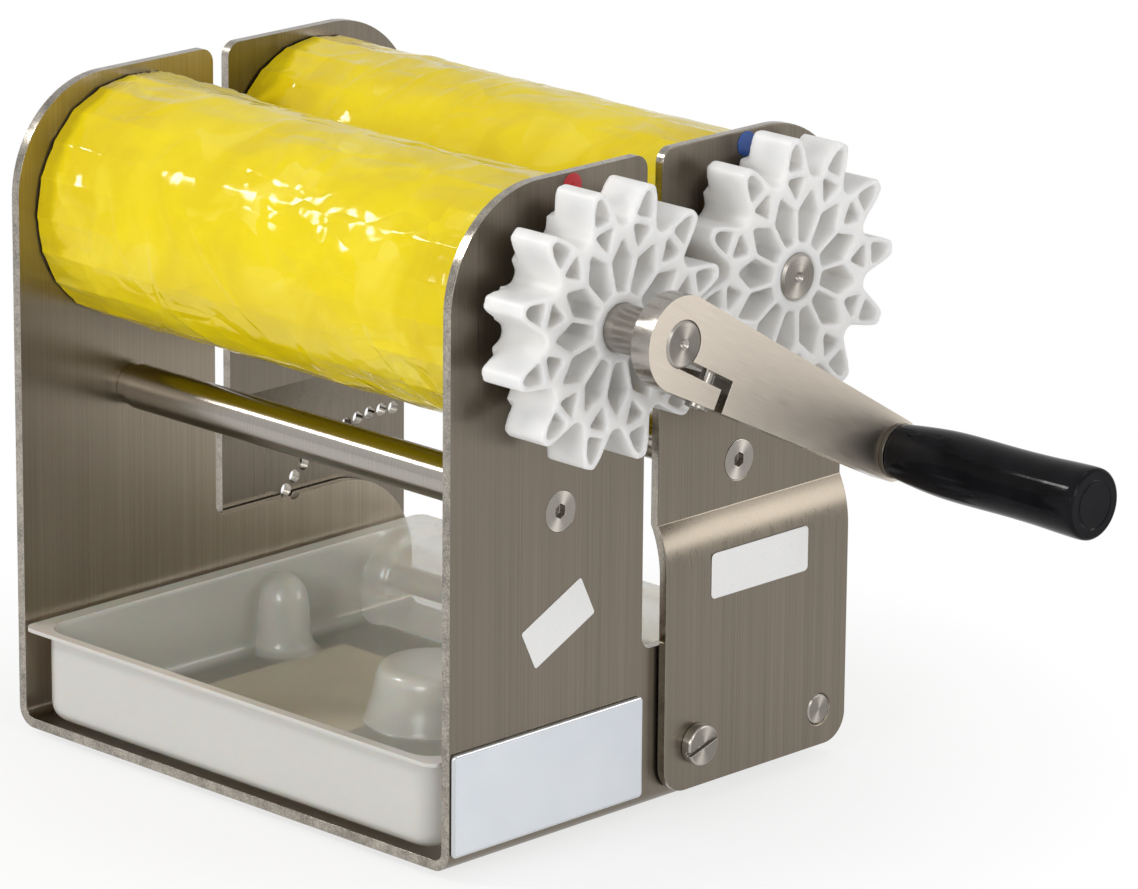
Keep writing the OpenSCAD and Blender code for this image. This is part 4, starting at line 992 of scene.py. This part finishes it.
def dress_crank():
    along = (0, math.cos(CRANK_SLOPE), math.sin(CRANK_SLOPE))
    # Arm colour lightened as painted sheen along its grain
    arm = brushed(
        "crank_steel_painted_sheen", CRANK_STEEL_PAINTED_SHEEN, 0.35, along, fine=3000.0, long=70.0, streaks=0.07, band_share=0.04
    )
    rim = plain_metal("crank_edge", LIGHT_STEEL, 0.2)
    dressed("crank_arm", 0.5 * MM, arm, rim, edge_faces=on_rim)


def dress_labels():
    paper = moulded("label_white", (0.84, 0.84, 0.835), 0.3, bump=0.03, variation=0.015, coat_weight=0.25)
    dressed("name_plate", 0.8 * MM, plate_foil(), segments=4)
    dressed("rear_label", 0.1 * MM, paper)
    dressed("slant_label", 0.1 * MM, paper)
    red = moulded("dot_red", (0.48, 0.008, 0.018), 0.3, bump=0.03, coat_weight=0.3)
    blue = moulded("dot_blue", (0.012, 0.075, 0.33), 0.3, bump=0.03, coat_weight=0.3)
    dressed("red_dot", 0.1 * MM, red)
    dressed("blue_dot", 0.1 * MM, blue)
    dressed("base_sticker", 0.05 * MM, moulded("sticker_paper", (0.80, 0.72, 0.52), 0.5, bump=0.05))


# Light, floor and camera

def background_mix(tree, plain, white):
    """Sends plain to diffuse rays, and white to what the camera, metal and glass see."""
    path = tree.nodes.new("ShaderNodeLightPath")
    seen = path.outputs["Is Camera Ray"]
    for name in ("Is Glossy Ray", "Is Transmission Ray"):
        most = tree.nodes.new("ShaderNodeMath")
        most.operation = "MAXIMUM"
        tree.links.new(seen, most.inputs[0])
        tree.links.new(path.outputs[name], most.inputs[1])
        seen = most.outputs[0]
    mix = tree.nodes.new("ShaderNodeMixShader")
    tree.links.new(seen, mix.inputs[0])
    tree.links.new(plain, mix.inputs[1])
    tree.links.new(white, mix.inputs[2])
    return mix.outputs[0]


def light_world():
    world = bpy.data.worlds.new("studio")
    world.use_nodes = True
    tree = world.node_tree
    plain = tree.nodes["Background"]
    plain.inputs["Color"].default_value = (1.0, 0.99, 0.975, 1)
    plain.inputs["Strength"].default_value = 0.42
    white = tree.nodes.new("ShaderNodeBackground")
    white.inputs["Strength"].default_value = 1.0
    mixed = background_mix(tree, plain.outputs[0], white.outputs[0])
    tree.links.new(mixed, tree.nodes["World Output"].inputs["Surface"])
    bpy.context.scene.world = world


def floor_glow(tree, plain):
    """What the camera sees of the floor: its own shade near the object, and white further off."""
    glow = tree.nodes.new("ShaderNodeEmission")
    partly = tree.nodes.new("ShaderNodeMixShader")
    place = tree.nodes.new("ShaderNodeTexCoord")
    length = tree.nodes.new("ShaderNodeVectorMath")
    length.operation = "LENGTH"
    tree.links.new(place.outputs["Object"], length.inputs[0])
    fade = tree.nodes.new("ShaderNodeMapRange")
    fade.inputs["From Min"].default_value = 0.13
    fade.inputs["From Max"].default_value = 0.28
    fade.inputs["To Min"].default_value = 0.72
    tree.links.new(length.outputs["Value"], fade.inputs["Value"])
    tree.links.new(fade.outputs["Result"], partly.inputs[0])
    tree.links.new(plain, partly.inputs[1])
    tree.links.new(glow.outputs[0], partly.inputs[2])
    return partly.outputs[0]


def pale_floor():
    bm = bmesh.new()
    bmesh.ops.create_grid(bm, x_segments=8, y_segments=8, size=4.0)
    mesh = bpy.data.meshes.new("floor")
    bm.to_mesh(mesh)
    bm.free()
    floor = add_object("floor", mesh)
    material = bpy.data.materials.new("pale_floor")
    material.use_nodes = True
    tree = material.node_tree
    principled = tree.nodes["Principled BSDF"]
    principled.inputs["Base Color"].default_value = (0.86, 0.86, 0.86, 1)
    principled.inputs["Roughness"].default_value = 0.9
    plain = principled.outputs[0]
    mixed = background_mix(tree, plain, floor_glow(tree, plain))
    tree.links.new(mixed, tree.nodes["Material Output"].inputs["Surface"])
    floor.data.materials.append(material)


def area_light(name, place, target, size, energy, colour=(1, 1, 1)):
    data = bpy.data.lights.new(name, "AREA")
    data.shape = "RECTANGLE"
    data.size, data.size_y = size
    data.energy = energy
    data.color = colour
    light = bpy.data.objects.new(name, data)
    bpy.context.scene.collection.objects.link(light)
    light.location = place
    light.rotation_euler = (Vector(target) - Vector(place)).to_track_quat("-Z", "Y").to_euler()


def studio_lights():
    middle = (0, 0, 0.13)
    area_light("key", (-1.1, -1.0, 1.25), middle, (0.3, 0.4), 11.5, (1, 0.98, 0.95))
    area_light("front", (0.6, -1.8, 0.7), middle, (0.6, 0.6), 11)
    area_light("side", (1.9, -0.5, 0.9), middle, (0.8, 0.8), 8)
    area_light("top", (0.1, 0.4, 1.6), middle, (0.5, 0.5), 2)
    area_light("rear", (1.35, 1.2, 0.42), (0.12, 0, 0.12), (0.7, 0.5), 5)


def photo_camera():
    azimuth, elevation, roll = (math.radians(a) for a in (CAMERA_AZIMUTH, CAMERA_ELEVATION, CAMERA_ROLL))
    level = math.cos(elevation)
    forward = Vector((-math.sin(azimuth) * level, math.cos(azimuth) * level, -math.sin(elevation)))
    right = Vector((math.cos(azimuth), math.sin(azimuth), 0))
    up = right.cross(forward)
    tilted = math.cos(roll) * right + math.sin(roll) * up
    top = math.cos(roll) * up - math.sin(roll) * right
    data = bpy.data.cameras.new("camera")
    data.lens = CAMERA_LENS
    data.sensor_fit = "HORIZONTAL"
    data.sensor_width = CAMERA_SENSOR
    camera = bpy.data.objects.new("camera", data)
    bpy.context.scene.collection.objects.link(camera)
    turn = Matrix((tilted, top, -forward)).transposed().to_4x4()
    camera.matrix_world = Matrix.Translation(CAMERA_PLACE) @ turn
    bpy.context.scene.camera = camera


photo_camera()
light_world()
pale_floor()
studio_lights()
dress_sheets()
dress_turned()
dress_small()
dress_gears()
dress_crank()
dress_labels()
film_sleeve("front_film", FRONT_AXIS, FRONT_FILM_SEED, 1.0)
film_sleeve("rear_film", REAR_AXIS, REAR_FILM_SEED, 0.0)
frosted_tray(frosted_plastic())

bpy.context.scene.view_settings.view_transform = "Standard"
